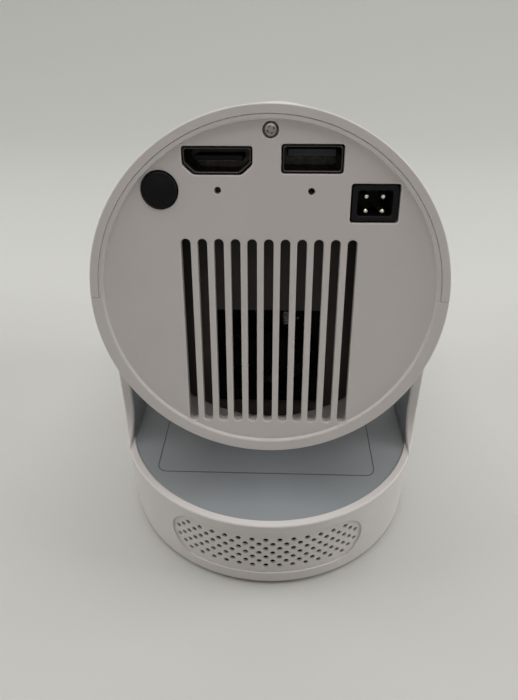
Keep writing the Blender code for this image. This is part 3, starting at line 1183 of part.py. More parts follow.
def fan(pivot):
    """Axial fan that draws air through the heat sink and blows it out of the slots."""
    rear = BAFFLE_FRONT_Y - FIT_GAP
    front = rear - FAN_DEPTH
    place = (0.0, 0.0, FAN_Z)
    frame = finish(prism(rounded_rectangle(FAN_HALF, FAN_HALF, FAN_CORNER), front, rear, "Y"), "fan_frame",
                   black_plastic(), pivot, place)
    cut(frame, prism(circle(FAN_DUCT_RADIUS, PART_STEPS), front - OVERRUN, rear + OVERRUN, "Y"), "fan_duct")
    hub = prism(circle(FAN_HUB_RADIUS, SMALL_STEPS), front, front + FAN_HUB_PLATE, "Y")
    join(frame, hub, "fan_motor_plate")
    for index in range(FAN_STRUTS):
        strut = prism(rectangle((-FAN_STRUT / 2, 0.0), (FAN_STRUT / 2, FAN_DUCT_RADIUS + FAN_STRUT / 3)),
                      front + FIT_GAP / 2, front + FAN_HUB_PLATE - FIT_GAP / 2, "Y")
        turn = math.radians(FAN_STRUT_FIRST + 360 * index / FAN_STRUTS)
        join(frame, turned(strut, turn, "Y"), "fan_strut_%d" % (index + 1))
    start = front + FAN_HUB_PLATE + FIT_GAP
    hub_top = FAN_HUB_LENGTH / 2
    profile = [(0.0, -hub_top), (FAN_HUB_RADIUS, -hub_top), (FAN_HUB_RADIUS, hub_top - FAN_HUB_EDGE),
               (FAN_HUB_RADIUS - FAN_HUB_EDGE, hub_top), (0.0, hub_top)]
    rotor = finish(revolve(profile, SMALL_STEPS, "Y"), "fan_rotor", black_plastic(), pivot,
                   (0.0, start + hub_top, FAN_Z))
    join(rotor, fan_blade_ring(), "fan_blades")


def heat_sink(pivot):
    """Extruded comb of upright fins, its flat base against the lamp board."""
    base_rear = SINK_FRONT_Y + SINK_BASE
    fin_rear = base_rear + SINK_FIN_LENGTH
    pitch = (2 * SINK_HALF_WIDTH - SINK_FIN) / (SINK_FINS - 1)
    comb = [(-SINK_HALF_WIDTH, SINK_FRONT_Y), (SINK_HALF_WIDTH, SINK_FRONT_Y)]
    for index in reversed(range(SINK_FINS)):
        left = -SINK_HALF_WIDTH + index * pitch
        comb += [(left + SINK_FIN, base_rear), (left + SINK_FIN, fin_rear), (left, fin_rear), (left, base_rear)]
    comb = comb[:2] + comb[3:-1]
    sink = prism(comb, -SINK_HALF_HEIGHT, SINK_HALF_HEIGHT)
    return finish(sink, "heat_sink", aluminium(), pivot)


def lamp(pivot):
    rear = SINK_FRONT_Y - FIT_GAP
    finish(prism(rounded_rectangle(LAMP_BOARD_HALF, LAMP_BOARD_HALF, FAN_CORNER), rear - LAMP_BOARD, rear, "Y"),
           "lamp_board", aluminium(), pivot)
    emitter_rear = rear - LAMP_BOARD - FIT_GAP
    emitter = prism(centred(LAMP_HALF, LAMP_HALF), emitter_rear - LAMP_THICKNESS, emitter_rear, "Y")
    finish(emitter, "lamp_emitter", lamp_yellow(), pivot)


def lens_body(name, radius, edge, rear_bulge, front_bulge, rear_y, surface, pivot):
    """Turned lens whose edge starts at rear_y and runs towards the front."""
    front_edge = -edge
    outline = [(0.0, rear_bulge)]
    for share in LENS_RADIUS_SHARES:
        outline.append((radius * share, rear_bulge * (1 - share ** 2)))
    outline += [(radius, 0.0), (radius, front_edge)]
    for share in reversed(LENS_RADIUS_SHARES):
        outline.append((radius * share, front_edge - front_bulge * (1 - share ** 2)))
    outline.append((0.0, front_edge - front_bulge))
    return finish(revolve(outline, PART_STEPS, "Y"), name, surface, pivot, (0.0, rear_y, 0.0))


def picture_engine(pivot):
    """Closed light box with the condenser, two thin lenses and the picture panel between them."""
    outline = centred(ENGINE_HALF_WIDTH, ENGINE_HALF_HEIGHT)
    box = finish(prism(outline, ENGINE_FRONT_Y, ENGINE_REAR_Y, "Y"), "engine_housing", black_plastic(), pivot)
    inner_x = ENGINE_HALF_WIDTH - ENGINE_WALL
    inner_z = ENGINE_HALF_HEIGHT - ENGINE_WALL
    rear_wall = ENGINE_REAR_Y - ENGINE_WALL
    cut(box, prism(centred(inner_x, inner_z), ENGINE_FRONT_Y - OVERRUN, rear_wall, "Y"), "engine_room")
    cut(box, prism(circle(ENGINE_PORT_RADIUS, PART_STEPS), rear_wall - OVERRUN, ENGINE_REAR_Y + OVERRUN, "Y"),
        "engine_port")
    lens_body("condenser_lens", CONDENSER_RADIUS, CONDENSER_EDGE, 0.0, CONDENSER_BULGE, rear_wall - FIT_GAP,
              clear_glass(), pivot)
    plate = centred(inner_x - FIT_GAP, inner_z - FIT_GAP)
    sheets = (("rear_fresnel", REAR_FRESNEL_Y, FRESNEL_THICKNESS, clear_glass()),
              ("lcd_panel", LCD_Y, LCD_THICKNESS, panel_glass()),
              ("front_fresnel", FRONT_FRESNEL_Y, FRESNEL_THICKNESS, clear_glass()))
    for name, rear, thickness, surface in sheets:
        finish(prism(plate, rear - thickness, rear, "Y"), name, surface, pivot)


def gear_outline(pitch_radius, teeth, first):
    """Straight-sided teeth, first in degrees from +X towards +Z."""
    points = []
    tip = pitch_radius + TOOTH_RISE
    root = pitch_radius - TOOTH_SINK
    for tooth in range(teeth):
        middle = math.radians(first) + 2 * math.pi * tooth / teeth
        for radius, half in ((root, -TOOTH_ROOT_HALF), (tip, -TOOTH_TIP_HALF), (tip, TOOTH_TIP_HALF),
                             (root, TOOTH_ROOT_HALF)):
            angle = middle + half / radius
            points.append((radius * math.cos(angle), radius * math.sin(angle)))
    return points


def lens_assembly(pivot):
    """Sleeve on the light box, sliding lens tube, toothed focus ring and its thumb wheel."""
    plate_rear = ENGINE_FRONT_Y - FIT_GAP
    plate_front = plate_rear - SLEEVE_PLATE
    sleeve = finish(prism(centred(ENGINE_HALF_WIDTH, ENGINE_HALF_HEIGHT), plate_front, plate_rear, "Y"),
                    "lens_sleeve", black_plastic(), pivot)
    outer = SLEEVE_BORE_RADIUS + SLEEVE_WALL
    tip = SLEEVE_TIP_Y
    tube = revolve([(0.0, tip), (outer, tip), (outer, plate_rear - SLEEVE_PLATE / 2),
                    (0.0, plate_rear - SLEEVE_PLATE / 2)], PART_STEPS, "Y")
    join(sleeve, tube, "sleeve_tube")
    cut(sleeve, prism(circle(SLEEVE_BORE_RADIUS, PART_STEPS), tip - OVERRUN, plate_rear + OVERRUN, "Y"),
        "sleeve_bore")
    radius = SLEEVE_BORE_RADIUS - TUBE_CLEARANCE
    front_seat = TUBE_FRONT_Y + TUBE_FRONT_SEAT
    rear_seat = TUBE_REAR_Y - TUBE_REAR_SEAT
    lens_tube = revolve([(TUBE_REAR_SEAT_RADIUS, TUBE_REAR_Y), (radius, TUBE_REAR_Y), (radius, TUBE_FRONT_Y),
                         (TUBE_FRONT_SEAT_RADIUS, TUBE_FRONT_Y), (TUBE_FRONT_SEAT_RADIUS, front_seat),
                         (TUBE_BORE_RADIUS, front_seat), (TUBE_BORE_RADIUS, rear_seat),
                         (TUBE_REAR_SEAT_RADIUS, rear_seat)], PART_STEPS, "Y")
    finish(lens_tube, "lens_tube", black_plastic(), pivot)
    lens_body("front_lens", TUBE_FRONT_SEAT_RADIUS - FIT_GAP, FRONT_LENS_EDGE, 0.0, FRONT_LENS_BULGE,
              front_seat - FIT_GAP, clear_glass(), pivot)
    lens_body("rear_lens", TUBE_REAR_SEAT_RADIUS - FIT_GAP, REAR_LENS_EDGE, REAR_LENS_BULGE, 0.0,
              rear_seat + FIT_GAP + REAR_LENS_EDGE, clear_glass(), pivot)
    ring_outer = TUBE_FRONT_SEAT_RADIUS - FIT_GAP
    ring_share = (ring_outer - RETAINER_WALL) / ring_outer
    crown = FRONT_LENS_BULGE * (1 - ring_share ** 2)
    ring_front = front_seat - FIT_GAP - FRONT_LENS_EDGE - crown - FIT_GAP
    retainer = revolve([(ring_outer - RETAINER_WALL, ring_front), (ring_outer, ring_front),
                        (ring_outer, ring_front - RETAINER_LENGTH),
                        (ring_outer - RETAINER_WALL / 2, ring_front - RETAINER_LENGTH)], PART_STEPS, "Y")
    finish(retainer, "lens_retainer", black_gloss(), pivot)
    half = RING_WIDTH / 2
    first_tooth = 90 + 180 / GEAR_TEETH
    gear = prism(gear_outline(GEAR_PITCH_CIRCLE, GEAR_TEETH, first_tooth), -half, half, "Y")
    ring = finish(turned(gear, WHEEL_ANGLE, "Y"), "focus_ring", black_plastic(), pivot, (0.0, RING_Y, 0.0))
    cut(ring, prism(circle(outer + RING_BORE_GAP, PART_STEPS), -half - OVERRUN, half + OVERRUN, "Y"),
        "focus_ring_bore")
    half = WHEEL_WIDTH / 2
    gear = prism(gear_outline(WHEEL_PITCH_CIRCLE, WHEEL_TEETH, 270), -half, half, "Y")
    wheel = finish(turned(gear, WHEEL_ANGLE, "Y"), "focus_wheel", black_plastic(), pivot,
                   (WHEEL_X, RING_Y, WHEEL_Z))
    cut(wheel, prism(circle(AXLE_RADIUS + FIT_GAP, SMALL_STEPS // 2), -half - OVERRUN, half + OVERRUN, "Y"),
        "focus_wheel_bore")
    reach = WHEEL_WIDTH / 2 + AXLE_EAR_GAP + AXLE_EAR
    finish(prism(circle(AXLE_RADIUS, SMALL_STEPS // 2), -reach, reach, "Y"), "focus_axle", steel(), pivot,
           (WHEEL_X, RING_Y, WHEEL_Z))


def main():
    clear_scene()
    MATERIALS.clear()
    pivot = bpy.data.objects.new("barrel_pivot", None)
    bpy.context.scene.collection.objects.link(pivot)
    pivot.location = (0.0, 0.0, PIVOT_HEIGHT)
    pivot.rotation_euler = (TILT, 0.0, 0.0)
    stand_shell()
    cradle_floor()
    base_plate()
    base_screws()
    rubber_pad()
    speaker()
    for side, label in ((1, "left"), (-1, "right")):
        arm_liner(side, label)
        hinge(side, label, pivot)
    lower_shell(pivot)
    upper_shell(pivot)
    front_bezel(pivot)
    rear_screw(pivot)
    sockets(pivot)
    power_button(pivot)
    power_switch(pivot)
    main_board(pivot)
    indicators(pivot)
    fan_baffle(pivot)
    fan(pivot)
    heat_sink(pivot)
    lamp(pivot)
    picture_engine(pivot)
    lens_assembly(pivot)


main()
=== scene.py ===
"""Looks of a small video projector: a round white barrel that tilts in the yoke of a round stand.

Frame: metres, +Z up, origin at the centre of the stand's underside. The lens looks
towards -Y and the socket panel faces +Y. Left is +X, as seen from behind.
"""
import json
from math import acos, cos, degrees, pi, radians, sin, sqrt

import bmesh
import bpy
from mathutils import Matrix, Vector


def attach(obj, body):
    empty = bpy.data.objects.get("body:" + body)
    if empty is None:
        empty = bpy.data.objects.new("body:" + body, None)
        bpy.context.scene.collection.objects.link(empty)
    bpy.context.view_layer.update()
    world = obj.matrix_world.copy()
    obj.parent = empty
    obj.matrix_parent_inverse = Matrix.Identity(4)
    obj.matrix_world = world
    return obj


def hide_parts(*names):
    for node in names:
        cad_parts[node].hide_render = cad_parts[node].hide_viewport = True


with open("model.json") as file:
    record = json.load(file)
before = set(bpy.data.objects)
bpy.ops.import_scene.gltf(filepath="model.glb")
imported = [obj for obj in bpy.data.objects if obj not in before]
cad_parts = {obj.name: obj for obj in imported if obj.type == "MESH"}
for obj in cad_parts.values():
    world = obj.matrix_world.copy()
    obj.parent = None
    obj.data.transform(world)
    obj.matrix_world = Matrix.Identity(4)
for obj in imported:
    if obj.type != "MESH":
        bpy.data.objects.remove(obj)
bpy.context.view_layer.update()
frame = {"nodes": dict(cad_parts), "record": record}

# Photograph and camera
IMAGE_LONG_SIDE = 700
FOCAL_PIXELS = 571.4
SENSOR = 36.0
CAMERA_PLACE = (-0.00258, 0.15097, 0.14998)
CAMERA_YAW = 0.04
CAMERA_PITCH = 0.573
CAMERA_ROLL = -0.006

# Barrel frame
TILT = radians(9.2)
PIVOT_HEIGHT = 0.0815
BARREL_FRAME = Matrix.Translation((0.0, 0.0, PIVOT_HEIGHT)) @ Matrix.Rotation(TILT, 4, "X")

# Mesh fineness
ROUND_STEPS = 192
FINE_STEPS = 64
SMALL_STEPS = 24
CORNER_STEPS = 5
EDGE_STEPS = 7
TINY = 0.000002
OVERRUN = 0.001
FIT_GAP = 0.0003
SHARP_ANGLE = radians(32)

# Stand
BASE_TOP_RADIUS = 0.0473
BASE_FOOT_RADIUS = 0.0465
BASE_HEIGHT = 0.0262
BASE_FOOT_Z = 0.0009
BASE_FOOT_ROUND = 0.0012
BASE_INNER_RADIUS = 0.0445
RIM_INNER_RADIUS = 0.0449
LEDGE_INNER_RADIUS = 0.0439
LEDGE_DEPTH = 0.0014
RIM_ROUND = 0.00055
RIM_STEPS = 8
FLOOR_TOP_Z = 0.0256
FLOOR_LOW_Z = 0.0238
LEDGE_Z = 0.0235
FLOOR_EDGE = 0.0001
FLOOR_GAP = 0.00008
ARM_INNER_X = 0.0435
ARM_OUTER_RADIUS = 0.0472
ARM_HALF_WIDTH = 0.0085
ARM_ROOT_ROUND = 0.011
ARM_FOOT_HALF = 0.018
ARM_FOOT_SINK = 0.0015
ARM_EDGE_ROUND = 0.0006
ARM_EDGE_LIMIT = 0.45
ARM_TOP_STEPS = 28
ARM_ROOT_STEPS = 24
ARM_COLUMNS = 20
HINGE_HOLE_RADIUS = 0.0028
POCKET_INSET = 0.0009
POCKET_X = 0.0448
LINER_FOOT_HALF = 0.0125
LINER_OUTER_X = 0.0445
LINER_EDGE = 0.00025
LABEL_CENTRE = (0.0007, 0.00065)
LABEL_HALF = (0.0329, 0.02615)
LABEL_CORNER = 0.003
# Width of the thin dark ring round the label, a painted shadow of the label's edge.
LABEL_SHADOW_WIDTH = 0.00026
LABEL_RISE = 0.00006

# Sound window in the base wall
GRILLE_HOLE_RADIUS = 0.00078
GRILLE_HOLE_SIDES = 18
GRILLE_HOLE_FLARE = 0.00008
GRILLE_COLUMN_PITCH = 0.00198
GRILLE_ROW_PITCH = 0.00187
GRILLE_MIDDLE_Z = 0.01415
GRILLE_ROWS = 7
GRILLE_LONG_COLUMN = 14
GRILLE_HALF_HEIGHT = 0.00875
GRILLE_HALF_LENGTH = 0.03
GRILLE_RECESS = 0.0005
GRILLE_WALL = 0.0006
GRILLE_BACK_DROP = 0.0036
GRILLE_STEPS = 120

# Barrel
BARREL_RADIUS = 0.043
REAR_REACH = 0.03
FRONT_REACH = 0.1
LOWER_INNER_RADIUS = 0.0406
UPPER_INNER_RADIUS = 0.04125
BAND_INNER_RADIUS = 0.04005
LIP_OUTER_RADIUS = 0.04085
LIP_INNER_RADIUS = 0.0399
REAR_EDGE_ROUND = 0.0004
REAR_EDGE_STEPS = 9
FRONT_EDGE_ROUND = 0.0008
INNER_EDGE_ROUND = 0.00015
SEAM_Z = -0.0004
SEAM_GAP = 0.00012
UPPER_REAR_RADIUS = 0.04091
UPPER_REAR_BAND = 0.0025
UPPER_FRONT_BAND = 0.0035
PANEL_EDGE_RADIUS = 0.0398
PANEL_OUTER_Y = 0.0289
PANEL_INNER_Y = 0.0265
LIP_TOP_Y = 0.0299
BAND_FOOT_Y = 0.0277

# Openings in the rear panel
MOUTH_ROUND = 0.00032
SLOT_COUNT = 11
SLOT_PITCH = 0.00388
SLOT_WIDTH = 0.0023
SLOT_TOP_Z = 0.0139
SLOT_FOOT_Z = -0.0346
SLOT_END_STEPS = 12
HDMI_CENTRE = (0.01157, 0.03122)
HDMI_HALF = (0.00785, 0.00305)
HDMI_BEVEL = (0.00245, 0.0022)
USB_CENTRE = (-0.00948, 0.03163)
USB_HALF = (0.0069, 0.00312)
DC_CENTRE = (-0.02381, 0.02217)
DC_HALF = (0.0055, 0.00432)
SOCKET_CORNER = 0.00065
BUTTON_CENTRE = (0.0247, 0.0249)
BUTTON_HOLE_RADIUS = 0.0043
REAR_SCREW_CENTRE = (-0.0002, 0.03762)
REAR_SCREW_HOLE_RADIUS = 0.0013
REAR_SCREW_SINK_RADIUS = 0.0018
REAR_SCREW_SINK_Y = 0.0271
PINHOLE_RADIUS = 0.00078
PINHOLE_CENTRES = ((0.01157, 0.02488), (-0.00948, 0.02473))

# Rear screw
SCREW_HEAD_RADIUS = 0.00155
SCREW_SINK = 0.0006
SCREW_EDGE = 0.0005
SCREW_EDGE_DROP = 0.0006
SCREW_EDGE_ANGLE = 75
SCREW_CROWN = 0.00003
SCREW_LENGTH = 0.0085
SCREW_SHANK_RADIUS = 0.001
SCREW_TIP_RADIUS = 0.0006
SCREW_TIP_LENGTH = 0.001
CROSS_HALF = 0.00112
CROSS_WIDTH = 0.0005
CROSS_ANGLES = (25, 115)
CROSS_SECTIONS = ((0.5, -0.0009), (1.0, 0.0004))

# Sockets
SOCKET_MOUTH_Y = 0.0285
SOCKET_METAL = 0.00035
SOCKET_ROLL = 0.00018
HDMI_DEPTH = 0.012
USB_DEPTH = 0.014
DC_DEPTH = 0.0125
DC_EDGE = 0.0003
DC_WALL = (0.0013, 0.0012)
DC_BACK = 0.0015
DC_PIN_HALF = (0.0019, 0.00165)
DC_PIN_RADIUS = 0.00068
DC_PIN_LENGTH = 0.0099
DC_PIN_DROP = 0.00025
DC_PIN_TIP_ANGLES = (0.4, 0.8, 1.2)

# Tongues: half size, lift over the socket's middle, length, number of contacts
HDMI_TONGUE = ((0.0056, 0.0006), 0.0003, 0.008, 10)
USB_TONGUE = ((0.0055, 0.0009), 0.001, 0.009, 4)
TONGUE_EDGE = 0.0002
TONGUE_EDGE_STEPS = 3
CONTACT_RISE = 0.00008

# Contacts, as shares of the tongue's width, of their pitch and of its length
CONTACTS_SPREAD = 0.86
CONTACT_HALF = 0.28
CONTACT_REAR = 0.1
CONTACT_FRONT = 0.88

# Power button
BUTTON_RADIUS = 0.00405
BUTTON_PROUD = 0.0004
BUTTON_CROWN = 0.0006
BUTTON_CROWN_DROP = 0.00003
BUTTON_EDGE = 0.00045
BUTTON_EDGE_DROP = 0.00027
BUTTON_EDGE_ANGLE = 70
BUTTON_FLANGE_RADIUS = 0.0051
BUTTON_FLANGE_DEPTH = 0.0027
BUTTON_FLANGE = 0.001
BUTTON_STEM_RADIUS = 0.0016
BUTTON_STEM = 0.0025
BUTTON_CROWN_SHARES = (0.86, 0.7, 0.52, 0.34, 0.17, 0.0)

# Focus wheel
WHEEL_Y = -0.0835
WHEEL_REACH = 0.033
WHEEL_ANGLE = radians(-60)
WHEEL_WIDTH = 0.006
WHEEL_PITCH_CIRCLE = 0.011
WHEEL_TEETH = 22
TOOTH_RISE = 0.0009
TOOTH_SINK = 0.0011
TOOTH_TIP_HALF = 0.0004
TOOTH_ROOT_HALF = 0.0008
TOOTH_BEVEL = 0.00025
WHEEL_EDGE = 0.00035
AXLE_RADIUS = 0.0014
WHEEL_SLOT_RADIUS = 0.0128
WHEEL_SLOT_HALF = 0.0034
EAR_HALF = 0.0036
EAR_NEAR = 0.0038
EAR_THICKNESS = 0.0014

# Front face and lens
BEZEL_FACE_Y = -0.099
BEZEL_THICKNESS = 0.004
BEZEL_OUTER_RADIUS = 0.0403
BEZEL_MOUTH_RADIUS = 0.0245
BEZEL_THROAT_RADIUS = 0.0186
BEZEL_THROAT_DEPTH = 0.0048
BEZEL_COLLAR = 0.0018
BEZEL_EDGE = 0.0006
BEZEL_STEPS = 12
BEZEL_CURVE = 0.85
TUBE_RADIUS = 0.0166
TUBE_REAR_Y = -0.06
TUBE_FRONT_Y = -0.094
TUBE_BORE_RADIUS = 0.0135
TUBE_FRONT_SEAT_RADIUS = 0.0155
TUBE_REAR_SEAT_RADIUS = 0.0146
TUBE_FRONT_SEAT = 0.008
TUBE_REAR_SEAT = 0.006
TUBE_BAFFLES = 9
TUBE_BAFFLE_DEPTH = 0.00035
TUBE_BAFFLE_SHARE = 0.85
TUBE_EDGE = 0.0003
FRONT_LENS_EDGE = 0.0022
FRONT_LENS_BULGE = 0.0026
FRONT_LENS_STEPS = 16
RETAINER_LENGTH = 0.0012
RETAINER_WALL = 0.0013
RETAINER_EDGE = 0.0002
RETAINER_BEVEL = 0.0006

# Air inlets and underside
INLET_COUNT = 7
INLET_STEP = radians(8)
INLET_HALF_WIDTH = 0.0011
INLET_HALF_LENGTH = 0.013
INLET_Y = -0.07
INLET_CELLS = 8
INLET_RIB = 0.0009
INLET_END_STEPS = 8
PAD_RADIUS = 0.042
PAD_THICKNESS = 0.0006
PAD_EDGE = 0.0002
PAD_GROOVES = 6
PAD_GROOVE_WIDTH = 0.0008
PAD_GROOVE_DEPTH = 0.00025

# Spans of the noise that colour and roughness follow
TONE_RANGE = (0.35, 0.65)
GLOSS_RANGE = (0.3, 0.7)

# Light and backdrop
FLOOR_SIZE = 1.6
ROOM_COLOUR = (1.0, 0.985, 0.955)
ROOM_LIGHT = 0.02
ROOM_SEEN = 0.45
# The floor's colour ramp from STAGE_FAR to STAGE_NEAR is painted light: darker far away and near the camera,
# palest just behind the object.
STAGE_FAR = -0.85
STAGE_NEAR = 0.1
STAGE_MOTTLE = 0.04
FLOOR_PAINTED_LIGHT_TONES = ((0.0, (0.5, 0.5, 0.478)), (0.76, (0.625, 0.625, 0.598)),
               (1.0, (0.56, 0.56, 0.536)))
BACKDROP_Y = -0.85
BACKDROP_ROUND = 0.35
BACKDROP_HEIGHT = 1.3
BACKDROP_STEPS = 24

# Soft boxes: place, size, power in watts, colour
LIGHT_AIM = (0.0, 0.0, 0.05)
SOFTBOXES = {
    "softbox_over": ((0.0, 0.05, 1.15), (1.1, 0.9), 6.7, (1.0, 0.985, 0.965)),
    "softbox_back": ((0.0, -0.45, 1.05), (1.1, 0.8), 1.8, (0.985, 1.0, 0.985)),
    "softbox_left": ((1.0, -0.1, 0.55), (0.7, 0.7), 4.4, (0.985, 1.0, 0.985)),
    "softbox_right": ((-1.0, -0.1, 0.55), (0.7, 0.7), 5.9, (0.985, 1.0, 0.985)),
    "softbox_room": ((0.0, 0.82, 0.85), (0.9, 0.6), 1.3, (1.0, 0.9, 0.87)),
}


# Mesh helpers

def arc(centre, radius, start, end, steps=CORNER_STEPS):
    """Points on an arc, angles in degrees."""
    points = []
    for step in range(steps + 1):
        angle = radians(start + (end - start) * step / steps)
        points.append((centre[0] + radius * cos(angle), centre[1] + radius * sin(angle)))
    return points


def circle(radius, steps, centre=(0.0, 0.0)):
    return arc(centre, radius, 0, 360, steps)[:-1]


def stadium(middle, half_width, low, high, steps):
    """Outline of an upright slot with round ends."""
    return arc((middle, high - half_width), half_width, 0, 180, steps) \
        + arc((middle, low + half_width), half_width, 180, 360, steps)


def box_outline(low, high):
    return [low, (high[0], low[1]), high, (low[0], high[1])]


def grown(half, amount):
    return (half[0] + amount, half[1] + amount)


def rounded_rectangle(half, corner, centre, steps=CORNER_STEPS):
    points = []
    for start, sign_a, sign_b in ((0, 1, 1), (90, -1, 1), (180, -1, -1), (270, 1, -1)):
        middle = (centre[0] + sign_a * (half[0] - corner), centre[1] + sign_b * (half[1] - corner))
        points += arc(middle, corner, start, start + 90, steps)
    return points


def rounded_corners(corners, radius):
    """The outline with each corner replaced by a small arc, as a quadratic curve."""
    points = []
    for index, corner in enumerate(corners):
        here = Vector(corner)
        before = Vector(corners[index - 1])
        after = Vector(corners[(index + 1) % len(corners)])
        start = here + (before - here).normalized() * radius
        end = here + (after - here).normalized() * radius
        for step in range(CORNER_STEPS + 1):
            share = step / CORNER_STEPS
            spot = start * (1 - share) ** 2 + here * (2 * share * (1 - share)) + end * share ** 2
            points.append((spot.x, spot.y))
    return points


def quarter_round(radius):
    """Pairs along a quarter round: the first grows from 0 to the radius, the second shrinks to 0."""
    angles = [radians(90 * step / CORNER_STEPS) for step in range(CORNER_STEPS + 1)]
    return [(radius * (1 - cos(angle)), radius * (1 - sin(angle))) for angle in angles]


def bridge(bm, low, high, gap=None):
    """Faces between two closed rows, where a row may be one point, with none at the gap."""
    count = max(len(low), len(high))
    for here in range(count):
        after = (here + 1) % count
        ring = [low[here], low[after]] if len(low) > 1 else [low[0]]
        ring += [high[after], high[here]] if len(high) > 1 else [high[0]]
        if here != gap and len(ring) > 2:
            bm.faces.new(ring)


def sealed(bm):
    """The same bmesh with its normals outwards."""
    bmesh.ops.recalc_face_normals(bm, faces=bm.faces)
    return bm


def turned(bm, angle, axis):
    bmesh.ops.rotate(bm, verts=bm.verts, cent=(0.0, 0.0, 0.0), matrix=Matrix.Rotation(angle, 3, axis))
    return bm


def moved(bm, offset):
    bmesh.ops.translate(bm, verts=bm.verts, vec=offset)
    return bm


def turn(profile, steps=ROUND_STEPS, axis="Y"):
    """Turn (radius, height) points once about Z or Y; flat ends on the axis become one face each."""
    bm = bmesh.new()
    flat_first = profile[0][0] < TINY and profile[0][1] == profile[1][1]
    flat_last = profile[-1][0] < TINY and profile[-1][1] == profile[-2][1]
    rows = []
    for radius, height in profile[1 if flat_first else 0:-1 if flat_last else None]:
        ring = circle(radius, steps) if radius > TINY else [(0.0, 0.0)]
        rows.append([bm.verts.new((a, b, height)) for a, b in ring])
    pairs = list(zip(rows, rows[1:]))
    if flat_first:
        bm.faces.new(rows[0])
    if flat_last:
        bm.faces.new(rows[-1])
    if profile[0][0] > TINY and profile[-1][0] > TINY:
        pairs.append((rows[-1], rows[0]))
    for low, high in pairs:
        bridge(bm, low, high)
    if axis == "Y":
        turned(bm, radians(-90), "X")
    return sealed(bm)


def loft(sections):
    """A closed body through outlines with the same number of points."""
    bm = bmesh.new()
    rows = [[bm.verts.new(point) for point in section] for section in sections]
    for low, high in zip(rows, rows[1:]):
        bridge(bm, low, high)
    bm.faces.new(rows[0])
    bm.faces.new(rows[-1])
    return sealed(bm)


def placed(outline, height, along):
    """A flat outline at one height along X, Y or Z, as 3-D points."""
    place = "XYZ".index(along)
    return [Vector((*point[:place], height, *point[place:])) for point in outline]


def prism(outline, low, high, along="Y"):
    return loft([placed(outline, low, along), placed(outline, high, along)])


def flared(outline_at, low, surface, flare):
    """A cutter along Y whose mouth widens in a quarter round where it meets the surface."""
    sections = [placed(outline_at(0.0), low, "Y")]
    for grow, depth in quarter_round(flare):
        sections.append(placed(outline_at(grow), surface - depth, "Y"))
    sections.append(placed(outline_at(flare), surface + OVERRUN, "Y"))
    return loft(sections)


def round_hole(radius, steps, centre, low, surface, flare):
    return flared(lambda grow: circle(radius + grow, steps, centre), low, surface, flare)


def softened(outline_at, low, high, edge, along="Y"):
    """A prism whose edges at both ends are rounded; outline_at takes how far the outline shrinks."""
    first = [placed(outline_at(shrink), low + rise, along) for rise, shrink in quarter_round(edge)]
    last = [placed(outline_at(shrink), high - rise, along) for rise, shrink in quarter_round(edge)]
    return loft(first + last[::-1])


def merged(*parts):
    """Several bmeshes that don't touch, in one."""
    whole = bmesh.new()
    for part in parts:
        mesh = bpy.data.meshes.new("part")
        part.to_mesh(mesh)
        part.free()
        whole.from_mesh(mesh)
        bpy.data.meshes.remove(mesh)
    return whole


def add_object(name, data):
    made = bpy.data.objects.new(name, data)
    bpy.context.scene.collection.objects.link(made)
    return made


def new_object(bm, name):
    mesh = bpy.data.meshes.new(name)
    bm.to_mesh(mesh)
    bm.free()
    return add_object(name, mesh)


def bake(target):
    """Put the result of the modifiers into the mesh."""
    bpy.context.view_layer.update()
    evaluated = target.evaluated_get(bpy.context.evaluated_depsgraph_get())
    mesh = bpy.data.meshes.new_from_object(evaluated)
    old = target.data
    target.modifiers.clear()
    target.data = mesh
    bpy.data.meshes.remove(old)
    mesh.name = target.name


def combine(target, operation, bodies):
    """One boolean step for each bmesh, one after the other."""
    for bm in bodies:
        guide = new_object(bm, "guide")
        step = target.modifiers.new("step", "BOOLEAN")
        step.operation = operation
        step.solver = "MANIFOLD"
        step.object = guide
        bake(target)
        bpy.data.objects.remove(guide, do_unlink=True)


def join(target, *bodies):
    combine(target, "UNION", bodies)


def cut(target, *bodies):
    combine(target, "DIFFERENCE", bodies)


def dress(target, body, node, slot, finish=None):
    """Smooth shading, material, place, body and the CAD node that the piece stands for."""
    bm = bmesh.new()
    bm.from_mesh(target.data)
    bmesh.ops.remove_doubles(bm, verts=bm.verts, dist=TINY)
    bm.to_mesh(target.data)
    bm.free()
    target.data.materials.clear()
    target.data.materials.append(SURFACES[finish or slot])
    if body != "stand":
        target.data.transform(BARREL_FRAME)
    target.data.shade_smooth()
    target.data.set_sharp_from_angle(angle=SHARP_ANGLE)
    normals = target.modifiers.new("weighted", "WEIGHTED_NORMAL")
    normals.keep_sharp = True
    normals.weight = 100
    bake(target)
    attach(target, body)
    if node:
        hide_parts(node)


# Materials

def set_inputs(tree, target, values):
    """Set a node's inputs, or link them where the value is another node's output."""
    for key, value in values.items():
        if isinstance(value, bpy.types.NodeSocket):
            tree.links.new(value, target.inputs[key])
        else:
            target.inputs[key].default_value = value


def add_node(tree, kind, values, operation=None):
    made = tree.nodes.new("ShaderNode" + kind)
    if operation:
        made.operation = operation
    set_inputs(tree, made, values)
    return made


def shader_of(name, colour, roughness, metallic=0.0):
    made = bpy.data.materials.new(name)
    made.use_nodes = True
    shader = made.node_tree.nodes["Principled BSDF"]
    set_inputs(made.node_tree, shader, {"Base Color": (*colour, 1.0), "Roughness": roughness,
                                        "Metallic": metallic})
    return made, made.node_tree, shader


def own_place(tree):
    return add_node(tree, "TexCoord", {}).outputs["Object"]


def noise(tree, scale, detail, stretch=(1.0, 1.0, 1.0)):
    """Noise in the object's own coordinates, stretched along its axes where asked."""
    mapping = add_node(tree, "Mapping", {"Scale": stretch, "Vector": own_place(tree)}).outputs["Vector"]
    return add_node(tree, "TexNoise", {"Scale": scale, "Detail": detail, "Vector": mapping}).outputs["Fac"]


